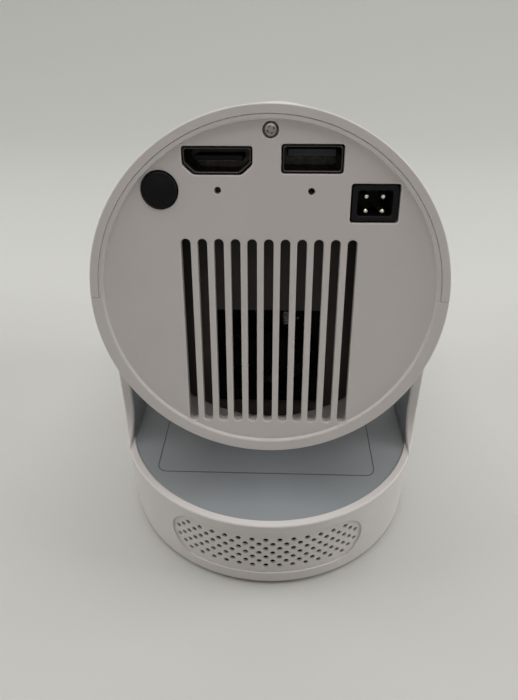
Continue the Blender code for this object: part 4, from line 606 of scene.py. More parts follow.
def vary_colour(tree, shader, level, stops):
    """Base colour that follows a level through stops of (position, colour)."""
    ramp = add_node(tree, "ValToRGB", {"Fac": level})
    for position, colour in stops[1:-1]:
        ramp.color_ramp.elements.new(position)
    for element, (position, colour) in zip(ramp.color_ramp.elements, stops):
        element.position = position
        element.color = (*colour, 1.0)
    set_inputs(tree, shader, {"Base Color": ramp.outputs["Color"]})


def vary_roughness(tree, shader, level, low, high):
    span = add_node(tree, "MapRange", {"From Min": GLOSS_RANGE[0], "From Max": GLOSS_RANGE[1], "To Min": low,
                                       "To Max": high, "Value": level})
    set_inputs(tree, shader, {"Roughness": span.outputs["Result"]})


def add_bump(tree, shader, level, strength, distance):
    bump = add_node(tree, "Bump", {"Strength": strength, "Distance": distance, "Height": level})
    set_inputs(tree, shader, {"Normal": bump.outputs["Normal"]})


def scaled(colour, factor):
    return tuple(channel * factor for channel in colour)


def tone_stops(colour, dark, light):
    return [(TONE_RANGE[0], scaled(colour, dark)), (TONE_RANGE[1], scaled(colour, light))]


def moulded(name, colour, roughness, grain=2400, strength=0.3, spread=0.08, gloss_spread=0.06, shine=0.5):
    """Moulded plastic: faint large-scale tone, spark-textured grain and uneven gloss."""
    made, tree, shader = shader_of(name, colour, roughness)
    set_inputs(tree, shader, {"Specular IOR Level": shine})
    vary_colour(tree, shader, noise(tree, scale=45, detail=3), tone_stops(colour, 1 - spread, 1 + spread))
    gloss = noise(tree, scale=160, detail=4)
    vary_roughness(tree, shader, gloss, roughness - gloss_spread, roughness + gloss_spread)
    add_bump(tree, shader, noise(tree, grain, detail=2), strength, distance=0.00004)
    return made


def metal(name, colour, roughness, stretch=(1.0, 1.0, 1.0)):
    """Plain or drawn metal with fine directional marks."""
    made, tree, shader = shader_of(name, colour, roughness, metallic=1.0)
    marks = noise(tree, scale=900, detail=4, stretch=stretch)
    vary_colour(tree, shader, noise(tree, scale=220, detail=3), tone_stops(colour, 0.94, 1.03))
    vary_roughness(tree, shader, marks, roughness * 0.7, roughness * 1.35)
    add_bump(tree, shader, marks, strength=0.12, distance=0.00002)
    return made


def circuit_board(name, colour):
    """Green lacquer with lighter tracks under it."""
    made, tree, shader = shader_of(name, colour, roughness=0.35)
    tracks = add_node(tree, "TexBrick", {"Scale": 160, "Mortar Size": 0.03, "Color1": (*colour, 1.0),
                                         "Color2": (*scaled(colour, 1.4), 1.0),
                                         "Mortar": (*scaled(colour, 2.2), 1.0),
                                         "Vector": own_place(tree)})
    set_inputs(tree, shader, {"Base Color": tracks.outputs["Color"]})
    vary_roughness(tree, shader, noise(tree, scale=300, detail=3), low=0.25, high=0.45)
    add_bump(tree, shader, noise(tree, scale=900, detail=2), strength=0.15, distance=0.00003)
    return made


def glass(name, colour, roughness):
    """Clear coated glass with faint unevenness in its polish."""
    made, tree, shader = shader_of(name, colour, roughness)
    set_inputs(tree, shader, {"Transmission Weight": 1.0, "IOR": 1.52})
    vary_colour(tree, shader, noise(tree, scale=60, detail=2), tone_stops(colour, 0.97, 1.0))
    vary_roughness(tree, shader, noise(tree, scale=120, detail=2), roughness, roughness + 0.02)
    return made


SURFACES = {
    "white_plastic": moulded("shell_white", (0.69, 0.655, 0.64), 0.52, 3200, 0.25, 0.02),
    "grey_plastic": moulded("yoke_grey", (0.275, 0.296, 0.312), 0.46, 2600, 0.3, 0.03),
    "black_plastic": moulded("plastic_black", (0.018, 0.017, 0.018), 0.42),
    # Darker than the other black plastic, so the DC inlet's recess and the HDMI tongue deep in its mouth read
    # black: black plastic with painted shade.
    "socket_black_painted_shade": moulded("socket_black_painted_shade", (0.0045, 0.0045, 0.006), 0.5, shine=0.2),
    "tongue_blue": moulded("tongue_blue", (0.02, 0.024, 0.034), 0.4, 2400, 0.2, 0.08),
    # Near-perfect dull black for the fan behind the slots, so the space there reads as deep shade: black
    # plastic with painted shade.
    "fan_black_painted_shade": moulded("fan_black_painted_shade", (0.003, 0.003, 0.0032), 0.75, shine=0.1),
    "baffle_dark": moulded("baffle_dark", (0.058, 0.045, 0.043), 0.55),
    "button_black": moulded("button_black", (0.004, 0.0038, 0.0055), 0.42, 4200, 0.12, 0.05, 0.04, 0.15),
    "black_gloss": moulded("face_gloss_black", (0.01, 0.01, 0.011), 0.14, 500, 0.03, 0.04, 0.03),
    "dark_rubber": moulded("rubber_dark", (0.03, 0.03, 0.031), 0.78, 1500, 0.5, 0.1),
    "steel": metal("steel_plain", (0.56, 0.56, 0.57), 0.32),
    "tin_plate": metal("tin_plate", (0.66, 0.65, 0.64), 0.24),
    # Dark metal for the socket mouths: dark plating at their rims, made darker still so their insides read
    # black, which is painted shade.
    "socket_metal_painted_shade": metal("socket_metal_painted_shade", (0.062, 0.058, 0.05), 0.34),
    "chrome": metal("screw_chrome", (0.36, 0.34, 0.33), 0.2),
    "black_anodised": metal("black_anodised", (0.02, 0.02, 0.021), 0.45, (1.0, 1.0, 0.08)),
    "aluminium": metal("aluminium_extruded", (0.72, 0.73, 0.74), 0.36, (1.0, 1.0, 0.08)),
    "brass": metal("pin_plated", (0.78, 0.74, 0.66), 0.22),
    "board_green": circuit_board("board_green", (0.02, 0.11, 0.05)),
    "lamp_yellow": moulded("lamp_yellow", (0.78, 0.62, 0.1), 0.42, 1800, 0.3, 0.08),
    "clear_glass": glass("glass_coated", (0.9, 0.94, 0.97), 0.01),
    "panel_glass": moulded("picture_panel", (0.045, 0.05, 0.075), 0.1, 2500, 0.05, 0.15, 0.03),
    # Dark grey for the thin ring round the label: painted shadow of its edge.
    "label_shadow": moulded("label_shadow", (0.075, 0.083, 0.092), 0.45, 2600, 0.1, 0.03),
}
INNER_FINISHES = {"fan_baffle": "baffle_dark", "fan_frame": "fan_black_painted_shade", "fan_rotor": "fan_black_painted_shade",
                  "heat_sink": "black_anodised"}


def dress_cad_nodes():
    """Every CAD node gets the finish of its slot, or its own where INNER_FINISHES names it."""
    slots = {row["node"]: row["material_slot"] for row in frame["record"]["subparts"]}
    for name, node in frame["nodes"].items():
        node.data.materials.clear()
        node.data.materials.append(SURFACES[INNER_FINISHES.get(name) or slots[name]])


# Stand

def base_outer_radius(height):
    share = height / BASE_HEIGHT
    return BASE_FOOT_RADIUS + (BASE_TOP_RADIUS - BASE_FOOT_RADIUS) * share


def base_wall():
    foot = (base_outer_radius(BASE_FOOT_ROUND) - BASE_FOOT_ROUND, BASE_FOOT_Z + BASE_FOOT_ROUND)
    rim_outer = (BASE_TOP_RADIUS - RIM_ROUND, BASE_HEIGHT - RIM_ROUND)
    rim_inner = (RIM_INNER_RADIUS + RIM_ROUND, BASE_HEIGHT - RIM_ROUND)
    profile = [(BASE_INNER_RADIUS, BASE_FOOT_Z)] + arc(foot, BASE_FOOT_ROUND, -90, 0, RIM_STEPS)
    profile += arc(rim_outer, RIM_ROUND, 0, 90, RIM_STEPS) + arc(rim_inner, RIM_ROUND, 90, 180, RIM_STEPS)
    profile += [(RIM_INNER_RADIUS, LEDGE_Z), (LEDGE_INNER_RADIUS, LEDGE_Z)]
    profile += [(LEDGE_INNER_RADIUS, LEDGE_Z - LEDGE_DEPTH / 2), (BASE_INNER_RADIUS, LEDGE_Z - LEDGE_DEPTH)]
    return turn(profile, ROUND_STEPS, "Z")


def arm_half_outline(inset, foot_half, foot_z):
    """Half of the arm's side view, in (Y, Z), from its round top down its curved root to its foot."""
    half = ARM_HALF_WIDTH - inset
    root = ARM_ROOT_ROUND + inset
    middle = (ARM_HALF_WIDTH + ARM_ROOT_ROUND, BASE_HEIGHT + ARM_ROOT_ROUND)
    last = 180 + degrees(acos((middle[0] - foot_half) / root))
    points = arc((0.0, PIVOT_HEIGHT), half, 90, 0, ARM_TOP_STEPS)
    points += arc(middle, root, 180, last, ARM_ROOT_STEPS)
    points.append((points[-1][0], foot_z))
    return points


def full_outline(half_outline):
    return half_outline + [(-y, z) for y, z in reversed(half_outline[1:])]


def arm_outer_x(y):
    return sqrt(ARM_OUTER_RADIUS ** 2 - y ** 2)


def arm_ring(plain, inward, down, on_outer):
    """Half of one edge loop of an arm; the edge round is smaller where the arm is thin."""
    shrunk = arm_half_outline(inward, ARM_FOOT_HALF, plain[-1][1])
    ring = []
    for (y0, z0), (y1, z1) in zip(plain, shrunk):
        room = (arm_outer_x(y0) - ARM_INNER_X) * ARM_EDGE_LIMIT
        share = min(1.0, room / ARM_EDGE_ROUND)
        y = y0 + (y1 - y0) * share
        x = arm_outer_x(y) - down * share if on_outer else ARM_INNER_X + down * share
        ring.append((x, y, z0 + (z1 - z0) * share))
    return ring


def arm_face(bm, side, loop, x_at):
    """Fill one face of an arm with rows from edge to edge, and return the lowest row."""
    right, left = loop
    rows = [[right[0]]]
    for a, b in zip(right[1:], left):
        row = [b]
        for column in range(1, ARM_COLUMNS):
            y = b.co.y + (a.co.y - b.co.y) * column / ARM_COLUMNS
            row.append(bm.verts.new((side * x_at(y), y, a.co.z)))
        rows.append(row + [a])
    for low, high in zip(rows, rows[1:]):
        for column in range(ARM_COLUMNS):
            corners = low[column:column + 2] if len(low) > 1 else low
            bm.faces.new((*corners, high[column + 1], high[column]))
    return rows[-1]


def arm_body(side):
    """One arm: a plate that follows the base's round outer face, with rounded edges all round."""
    bm = bmesh.new()
    plain = arm_half_outline(0.0, ARM_FOOT_HALF, BASE_HEIGHT - ARM_FOOT_SINK)
    rounds = quarter_round(ARM_EDGE_ROUND)
    rings = [arm_ring(plain, *pair, True) for pair in rounds[::-1]]
    rings += [arm_ring(plain, *pair, False) for pair in rounds]
    loops = []
    for ring in rings:
        right = [bm.verts.new((side * x, y, z)) for x, y, z in ring]
        left = [bm.verts.new((side * x, -y, z)) for x, y, z in ring[1:]]
        loops.append((right, left))
    closed = [right + left[::-1] for right, left in loops]
    for low, high in zip(closed, closed[1:]):
        bridge(bm, low, high, len(plain) - 1)
    outer_foot = arm_face(bm, side, loops[0], arm_outer_x)
    inner_foot = arm_face(bm, side, loops[-1], lambda y: ARM_INNER_X)
    between = loops[1:-1]
    bm.faces.new(outer_foot + [right[-1] for right, left in between] + inner_foot[::-1]
                 + [left[-1] for right, left in reversed(between)])
    return sealed(bm)


def liner_pocket(side):
    outline = full_outline(arm_half_outline(POCKET_INSET, LINER_FOOT_HALF + FIT_GAP, FLOOR_TOP_Z))
    low, high = sorted((side * (ARM_INNER_X - OVERRUN), side * POCKET_X))
    return prism(outline, low, high, "X")


def window_slab(inner_drop, outer_drop):
    """A round-ended slab that follows the base wall, between two depths under its face."""
    straight = GRILLE_HALF_LENGTH - GRILLE_HALF_HEIGHT
    sections = []
    for step in range(1, GRILLE_STEPS):
        along = -GRILLE_HALF_LENGTH * cos(pi * step / GRILLE_STEPS)
        over = max(0.0, abs(along) - straight)
        rise = sqrt(max(0.0, GRILLE_HALF_HEIGHT ** 2 - over ** 2))
        angle = along / BASE_TOP_RADIUS
        section = []
        for offset, drop in box_outline((-rise, inner_drop), (rise, outer_drop)):
            height = GRILLE_MIDDLE_Z + offset
            radius = base_outer_radius(height) - drop
            section.append(Vector((radius * sin(angle), radius * cos(angle), height)))
        sections.append(section)
    return loft(sections)


def window_holes():
    """Staggered rows of round holes with softened mouths, each square to the base wall."""
    holes = []
    for row in range(GRILLE_ROWS):
        height = GRILLE_MIDDLE_Z + (GRILLE_ROWS // 2 - row) * GRILLE_ROW_PITCH
        outer_row = row in (0, GRILLE_ROWS - 1)
        first = -GRILLE_LONG_COLUMN + (2 if outer_row else row % 2)
        surface = base_outer_radius(height) - GRILLE_RECESS
        for column in range(first, -first + 1, 2):
            hole = round_hole(GRILLE_HOLE_RADIUS, GRILLE_HOLE_SIDES, (0.0, height),
                              BASE_INNER_RADIUS - OVERRUN, surface, GRILLE_HOLE_FLARE)
            holes.append(turned(hole, -column * GRILLE_COLUMN_PITCH / BASE_TOP_RADIUS, "Z"))
    return merged(*holes)


def stand_moulding():
    piece = new_object(base_wall(), "stand_moulding")
    join(piece, arm_body(1), arm_body(-1))
    cut(piece, liner_pocket(1), liner_pocket(-1), window_slab(GRILLE_RECESS, -OVERRUN),
        window_slab(GRILLE_BACK_DROP, GRILLE_RECESS + GRILLE_WALL), window_holes())
    dress(piece, "stand", "stand_shell", "white_plastic")


def floor_outline(shrink):
    radius = RIM_INNER_RADIUS - FLOOR_GAP - shrink
    half = ARM_INNER_X - FIT_GAP - shrink
    corner = degrees(acos(half / radius))
    return arc((0.0, 0.0), radius, corner, 180 - corner, FINE_STEPS) \
        + arc((0.0, 0.0), radius, 180 + corner, 360 - corner, FINE_STEPS)


def yoke_floor():
    piece = new_object(softened(floor_outline, FLOOR_LOW_Z, FLOOR_TOP_Z, FLOOR_EDGE, "Z"), "yoke_floor")
    dress(piece, "stand", "cradle_floor", "grey_plastic")


def label_edge_shadow():
    """Thin dark ring round the bare label on the yoke's floor: painted shadow of the label's edge."""
    outer = rounded_rectangle(LABEL_HALF, LABEL_CORNER, LABEL_CENTRE, SMALL_STEPS)
    inner = rounded_rectangle(grown(LABEL_HALF, -LABEL_SHADOW_WIDTH), LABEL_CORNER - LABEL_SHADOW_WIDTH, LABEL_CENTRE,
                              SMALL_STEPS)
    low = FLOOR_TOP_Z - LABEL_RISE
    high = FLOOR_TOP_Z + LABEL_RISE
    bm = bmesh.new()
    rows = [[bm.verts.new((x, y, z)) for x, y in outline]
            for outline, z in ((outer, low), (outer, high), (inner, high), (inner, low))]
    for first, second in zip(rows, rows[1:] + rows[:1]):
        bridge(bm, first, second)
    dress(new_object(sealed(bm), "label_edge_shadow"), "stand", None, "grey_plastic", "label_shadow")


def hinge_hole(low, high, height):
    """Cutter for the hole that the hinge pin passes through."""
    outline = circle(HINGE_HOLE_RADIUS, SMALL_STEPS, (0.0, height))
    return prism(outline, low - OVERRUN, high + OVERRUN, "X")


def arm_cover(side, label):
    """Grey cover over the hinge inside an arm, with softened edges."""
    def outline_at(shrink):
        inset = POCKET_INSET + FIT_GAP + shrink
        return full_outline(arm_half_outline(inset, LINER_FOOT_HALF - shrink, FLOOR_TOP_Z + FIT_GAP))

    low, high = sorted((side * ARM_INNER_X, side * LINER_OUTER_X))
    piece = new_object(softened(outline_at, low, high, LINER_EDGE, "X"), "arm_cover_" + label)
    cut(piece, hinge_hole(low, high, PIVOT_HEIGHT))
    dress(piece, "stand", "arm_liner_" + label, "grey_plastic")


def foot_pad():
    """Rubber pad with ring grooves underneath."""
    half = PAD_GROOVE_WIDTH / 2
    profile = [(0.0, 0.0)]
    for groove in range(1, PAD_GROOVES + 1):
        middle = PAD_RADIUS * groove / (PAD_GROOVES + 1)
        profile += [(middle - half, 0.0), (middle - half / 2, PAD_GROOVE_DEPTH)]
        profile += [(middle + half / 2, PAD_GROOVE_DEPTH), (middle + half, 0.0)]
    profile += arc((PAD_RADIUS - PAD_EDGE, PAD_EDGE), PAD_EDGE, -90, 0)
    profile += [(PAD_RADIUS, PAD_THICKNESS), (0.0, PAD_THICKNESS)]
    piece = new_object(turn(profile, ROUND_STEPS, "Z"), "foot_pad")
    dress(piece, "stand", "rubber_pad", "dark_rubber")


# Barrel shells

def half_space(low_z, high_z):
    reach = BARREL_RADIUS + OVERRUN
    outline = box_outline((-reach, -FRONT_REACH - OVERRUN), (reach, REAR_REACH + OVERRUN))
    return prism(outline, low_z, high_z, "Z")


def shell_outside():
    """Outer side of both shells' profile, from the front edge to the rear edge."""
    nose = (BARREL_RADIUS - FRONT_EDGE_ROUND, -FRONT_REACH + FRONT_EDGE_ROUND)
    edge = (BARREL_RADIUS - REAR_EDGE_ROUND, REAR_REACH - REAR_EDGE_ROUND)
    return arc(nose, FRONT_EDGE_ROUND, -90, 0) + arc(edge, REAR_EDGE_ROUND, 0, 90, REAR_EDGE_STEPS)


def hdmi_outline(grow):
    x, z = HDMI_CENTRE
    half_x, half_z = grown(HDMI_HALF, grow)
    side, rise = HDMI_BEVEL
    right = [(x + half_x - side, z - half_z), (x + half_x, z - half_z + rise), (x + half_x, z + half_z)]
    left = [(2 * x - corner_x, corner_z) for corner_x, corner_z in reversed(right)]
    return rounded_corners(left + right, SOCKET_CORNER)


def usb_outline(grow):
    return rounded_rectangle(grown(USB_HALF, grow), SOCKET_CORNER + max(0.0, grow), USB_CENTRE)


def dc_outline(grow):
    return rounded_rectangle(grown(DC_HALF, grow), SOCKET_CORNER + max(0.0, grow), DC_CENTRE)


def panel_cutters():
    """Cutters for the slots, the openings, the screw's sink and the screw's bore."""
    low = PANEL_INNER_Y - OVERRUN
    top = PANEL_OUTER_Y
    slots = []
    for index in range(SLOT_COUNT):
        x = (index - SLOT_COUNT // 2) * SLOT_PITCH
        slots.append(flared(lambda grow: stadium(x, SLOT_WIDTH / 2 + grow, SLOT_FOOT_Z - grow,
                                                 SLOT_TOP_Z + grow, SLOT_END_STEPS), low, top, MOUTH_ROUND))
    holes = [flared(outline, low, top, MOUTH_ROUND) for outline in (hdmi_outline, usb_outline, dc_outline)]
    holes.append(round_hole(BUTTON_HOLE_RADIUS, FINE_STEPS, BUTTON_CENTRE, low, top, MOUTH_ROUND / 2))
    for centre in PINHOLE_CENTRES:
        holes.append(round_hole(PINHOLE_RADIUS, SMALL_STEPS, centre, low, top, MOUTH_ROUND / 2))
    centre = REAR_SCREW_CENTRE
    sink = round_hole(REAR_SCREW_SINK_RADIUS, FINE_STEPS, centre, REAR_SCREW_SINK_Y, top, MOUTH_ROUND)
    bore = prism(circle(REAR_SCREW_HOLE_RADIUS, SMALL_STEPS, centre), low, top + OVERRUN)
    return merged(*slots), merged(*holes), sink, bore


def air_inlets():
    """Rows of short slots under the barrel, divided by cross ribs."""
    slots = []
    pitch = 2 * INLET_HALF_LENGTH / INLET_CELLS
    for index in range(INLET_COUNT):
        for cell in range(INLET_CELLS):
            low = INLET_Y - INLET_HALF_LENGTH + cell * pitch + INLET_RIB / 2
            outline = stadium(0.0, INLET_HALF_WIDTH, low, low + pitch - INLET_RIB, INLET_END_STEPS)
            slot = prism(outline, -BARREL_RADIUS - OVERRUN, -LOWER_INNER_RADIUS + OVERRUN, "Z")
            slots.append(turned(slot, (index - INLET_COUNT // 2) * INLET_STEP, "Y"))
    return merged(*slots)


def barrel_lower():
    """Lower shell in one moulding with the rear panel, the panel's openings with softened mouths."""
    edge = INNER_EDGE_ROUND
    profile = [(LOWER_INNER_RADIUS, -FRONT_REACH)] + shell_outside()
    profile += arc((BAND_INNER_RADIUS + edge, REAR_REACH - edge), edge, 90, 180)
    profile += [(PANEL_EDGE_RADIUS, PANEL_OUTER_Y - FIT_GAP), (PANEL_EDGE_RADIUS, BAND_FOOT_Y)]
    profile.append((LOWER_INNER_RADIUS, BAND_FOOT_Y))
    piece = new_object(turn(profile), "barrel_lower")
    plate = [(0.0, PANEL_INNER_Y), (LIP_OUTER_RADIUS, PANEL_INNER_Y)]
    plate += arc((LIP_OUTER_RADIUS - edge, LIP_TOP_Y - edge), edge, 0, 90)
    plate += arc((LIP_INNER_RADIUS + edge, LIP_TOP_Y - edge), edge, 90, 180)
    plate += [(PANEL_EDGE_RADIUS, PANEL_OUTER_Y), (0.0, PANEL_OUTER_Y)]
    cut(piece, half_space(SEAM_Z, BARREL_RADIUS + OVERRUN))
    join(piece, turn(plate))
    cut(piece, hinge_hole(-BARREL_RADIUS, BARREL_RADIUS, 0.0), *panel_cutters(), air_inlets())
    dress(piece, "barrel", "lower_shell", "white_plastic")


def axle_cylinder(radius, steps, half_width):
    """A cylinder round the focus wheel's axle."""
    outline = circle(radius, steps, (0.0, WHEEL_REACH))
    return turned(prism(outline, WHEEL_Y - half_width, WHEEL_Y + half_width), WHEEL_ANGLE, "Y")


def barrel_upper():
    """Upper cover with the focus wheel's slot and the ears that hold its axle."""
    edge = INNER_EDGE_ROUND
    band_front = REAR_REACH - UPPER_REAR_BAND
    band_rear = -FRONT_REACH + UPPER_FRONT_BAND
    profile = [(LOWER_INNER_RADIUS, -FRONT_REACH)] + shell_outside()
    profile += arc((UPPER_REAR_RADIUS + edge, REAR_REACH - edge), edge, 90, 180)
    profile += [(UPPER_REAR_RADIUS, band_front), (UPPER_INNER_RADIUS, band_front)]
    profile += [(UPPER_INNER_RADIUS, band_rear), (LOWER_INNER_RADIUS, band_rear)]
    piece = new_object(turn(profile), "barrel_upper")
    cut(piece, half_space(-BARREL_RADIUS - OVERRUN, SEAM_Z + SEAM_GAP),
        hinge_hole(-BARREL_RADIUS, BARREL_RADIUS, 0.0))
    face = box_outline((-EAR_HALF, WHEEL_REACH - EAR_HALF), (EAR_HALF, UPPER_INNER_RADIUS + edge))
    for sign in (-1, 1):
        low, high = sorted((WHEEL_Y + sign * EAR_NEAR, WHEEL_Y + sign * (EAR_NEAR + EAR_THICKNESS)))
        join(piece, turned(prism(face, low, high), WHEEL_ANGLE, "Y"))
    cut(piece, axle_cylinder(AXLE_RADIUS + FIT_GAP, SMALL_STEPS, EAR_NEAR + EAR_THICKNESS + OVERRUN),
        axle_cylinder(WHEEL_SLOT_RADIUS, FINE_STEPS, WHEEL_SLOT_HALF))
    dress(piece, "barrel", "upper_shell", "white_plastic")


# Rear panel fittings

def power_key():
    """Satin black key: crowned face, rounded edge, flange behind the panel."""
    face = PANEL_OUTER_Y + BUTTON_PROUD
    inner = PANEL_OUTER_Y - BUTTON_FLANGE_DEPTH - BUTTON_FLANGE
    stem = inner - BUTTON_STEM
    rear = inner + BUTTON_FLANGE
    profile = [(0.0, stem), (BUTTON_STEM_RADIUS, stem), (BUTTON_STEM_RADIUS, inner)]
    profile += [(BUTTON_FLANGE_RADIUS, inner), (BUTTON_FLANGE_RADIUS, rear), (BUTTON_RADIUS, rear)]
    edge = (BUTTON_RADIUS - BUTTON_EDGE, face - BUTTON_EDGE_DROP)
    profile += arc(edge, BUTTON_EDGE, 0, BUTTON_EDGE_ANGLE, EDGE_STEPS)
    for share in BUTTON_CROWN_SHARES:
        profile.append((BUTTON_RADIUS * share, face + BUTTON_CROWN * (1 - share ** 2) - BUTTON_CROWN_DROP))
    x, z = BUTTON_CENTRE
    piece = new_object(moved(turn(profile, FINE_STEPS), (x, 0.0, z)), "power_key")
    dress(piece, "power_button", "power_button", "black_plastic", "button_black")


def screw_head():
    """Bright pan head with a cross recess, sunk in the panel."""
    radius = SCREW_HEAD_RADIUS
    low = REAR_SCREW_SINK_Y + FIT_GAP / 10
    face = PANEL_OUTER_Y - SCREW_SINK
    tip = low - SCREW_LENGTH
    profile = [(0.0, tip), (SCREW_TIP_RADIUS, tip), (SCREW_SHANK_RADIUS, tip + SCREW_TIP_LENGTH)]
    profile += [(SCREW_SHANK_RADIUS, low), (radius, low)]
    profile += arc((radius - SCREW_EDGE, face - SCREW_EDGE_DROP), SCREW_EDGE, 0, SCREW_EDGE_ANGLE, EDGE_STEPS)
    profile += [(radius / 2, face - SCREW_CROWN), (0.0, face)]
    piece = new_object(turn(profile, FINE_STEPS), "panel_screw")
    for angle in CROSS_ANGLES:
        sections = []
        for share, height in CROSS_SECTIONS:
            corner = (CROSS_HALF * share, CROSS_WIDTH / 2)
            sections.append(placed(box_outline((-corner[0], -corner[1]), corner), face + height, "Y"))
        cut(piece, turned(loft(sections), radians(angle), "Y"))
    x, z = REAR_SCREW_CENTRE
    piece.data.transform(Matrix.Translation((x, 0.0, z)))
    dress(piece, "barrel", "rear_screw", "tin_plate", "chrome")


def socket_mouth(name, outline_at, depth, node):
    """Folded metal mouth with a rolled front edge, open to the rear and closed inside."""
    back = SOCKET_MOUTH_Y - depth
    roll_foot = SOCKET_MOUTH_Y - SOCKET_ROLL
    sections = [placed(outline_at(-FIT_GAP), back, "Y"), placed(outline_at(-FIT_GAP), roll_foot, "Y")]
    for step in range(1, CORNER_STEPS + 1):
        angle = radians(180 * step / CORNER_STEPS)
        shrink = FIT_GAP + SOCKET_METAL / 2 * (1 - cos(angle))
        sections.append(placed(outline_at(-shrink), roll_foot + SOCKET_ROLL * sin(angle), "Y"))
    sections.append(placed(outline_at(-FIT_GAP - SOCKET_METAL), back + SOCKET_METAL, "Y"))
    dress(new_object(loft(sections), name), "barrel", node, "tin_plate", "socket_metal_painted_shade")


def tongue(name, centre, depth, shape, node, finish):
    """Plastic tongue with plated contacts on its lower face."""
    half, lift, length, contacts = shape
    back = SOCKET_MOUTH_Y - depth + SOCKET_METAL + FIT_GAP
    middle = (centre[0], centre[1] + lift)

    def outline_at(shrink):
        return rounded_rectangle(grown(half, -shrink), TONGUE_EDGE, middle, TONGUE_EDGE_STEPS)

    piece = new_object(softened(outline_at, back, back + length, TONGUE_EDGE), name)
    dress(piece, "barrel", node, "black_plastic", finish)
    strips = []
    pitch = 2 * half[0] * CONTACTS_SPREAD / contacts
    low = middle[1] - half[1] - CONTACT_RISE
    for index in range(contacts):
        x = middle[0] + (index - (contacts - 1) / 2) * pitch
        reach = pitch * CONTACT_HALF
        outline = box_outline((x - reach, low), (x + reach, low + 2 * CONTACT_RISE))
        strips.append(prism(outline, back + length * CONTACT_REAR, back + length * CONTACT_FRONT))
    dress(new_object(merged(*strips), name + "_contacts"), "barrel", None, "brass")


def power_inlet():
    """Black four-pin inlet with a softened rim and bright pins."""
    half = tuple(side - FIT_GAP - wall for side, wall in zip(DC_HALF, DC_WALL))
    back = SOCKET_MOUTH_Y - DC_DEPTH
    body = softened(lambda shrink: dc_outline(-FIT_GAP - shrink), back, SOCKET_MOUTH_Y, DC_EDGE)
    piece = new_object(body, "power_inlet")
    cut(piece, flared(lambda grow: rounded_rectangle(grown(half, grow), SOCKET_CORNER, DC_CENTRE),
                      back + DC_BACK, SOCKET_MOUTH_Y, DC_EDGE))
    dress(piece, "barrel", "dc_housing", "black_plastic", "socket_black_painted_shade")
    base = back + DC_BACK + FIT_GAP
    tip = base + DC_PIN_LENGTH
    profile = [(0.0, base), (DC_PIN_RADIUS, base), (DC_PIN_RADIUS, tip - DC_PIN_RADIUS)]
    for angle in DC_PIN_TIP_ANGLES:
        profile.append((DC_PIN_RADIUS * cos(angle), tip - DC_PIN_RADIUS * (1 - sin(angle))))
    profile.append((0.0, tip))
    for index, (sign_x, sign_z) in enumerate(((1, 1), (1, -1), (-1, 1), (-1, -1)), 1):
        x = DC_CENTRE[0] + sign_x * DC_PIN_HALF[0]
        z = DC_CENTRE[1] + sign_z * DC_PIN_HALF[1] - DC_PIN_DROP
        pin = new_object(moved(turn(profile, SMALL_STEPS), (x, 0.0, z)), "inlet_pin_%d" % index)
        dress(pin, "barrel", "dc_pin_%d" % index, "brass")


# Front

def front_face():
    """Glossy dished face round the lens."""
    back = BEZEL_FACE_Y + BEZEL_THICKNESS
    throat = BEZEL_FACE_Y + BEZEL_THROAT_DEPTH
    edge = (BEZEL_OUTER_RADIUS - BEZEL_EDGE, BEZEL_FACE_Y + BEZEL_EDGE)
    profile = arc(edge, BEZEL_EDGE, -90, 0)
    profile += [(BEZEL_OUTER_RADIUS, back), (BEZEL_MOUTH_RADIUS + BEZEL_COLLAR, back)]
    profile.append((BEZEL_THROAT_RADIUS + BEZEL_COLLAR, throat + BEZEL_COLLAR))
    profile += [(BEZEL_THROAT_RADIUS, throat + BEZEL_COLLAR), (BEZEL_THROAT_RADIUS, throat)]
    for step in range(1, BEZEL_STEPS + 1):
        share = step / BEZEL_STEPS
        radius = BEZEL_THROAT_RADIUS + (BEZEL_MOUTH_RADIUS - BEZEL_THROAT_RADIUS) * share
        profile.append((radius, throat - BEZEL_THROAT_DEPTH * (share * (2 - share)) ** BEZEL_CURVE))
    dress(new_object(turn(profile), "front_face"), "barrel", "front_bezel", "black_gloss")


def lens_barrel():
    """Sliding lens tube, its bore stepped with fine light baffles."""
    front_seat = TUBE_FRONT_Y + TUBE_FRONT_SEAT
    rear_seat = TUBE_REAR_Y - TUBE_REAR_SEAT
    step_y = TUBE_FRONT_Y + TUBE_EDGE
    profile = [(TUBE_REAR_SEAT_RADIUS, TUBE_REAR_Y), (TUBE_RADIUS, TUBE_REAR_Y), (TUBE_RADIUS, step_y)]
    profile += [(TUBE_RADIUS - TUBE_EDGE, TUBE_FRONT_Y), (TUBE_FRONT_SEAT_RADIUS + TUBE_EDGE, TUBE_FRONT_Y)]
    profile += [(TUBE_FRONT_SEAT_RADIUS, step_y), (TUBE_FRONT_SEAT_RADIUS, front_seat)]
    pitch = (rear_seat - front_seat) / TUBE_BAFFLES
    for index in range(TUBE_BAFFLES):
        start = front_seat + pitch * index
        tooth = (TUBE_BORE_RADIUS + TUBE_BAFFLE_DEPTH, start + pitch * TUBE_BAFFLE_SHARE)
        profile += [(TUBE_BORE_RADIUS, start), tooth]
    profile += [(TUBE_BORE_RADIUS, rear_seat), (TUBE_REAR_SEAT_RADIUS, rear_seat)]
    piece = new_object(turn(profile, ROUND_STEPS // 2), "lens_barrel")
    dress(piece, "lens", "lens_tube", "black_plastic")


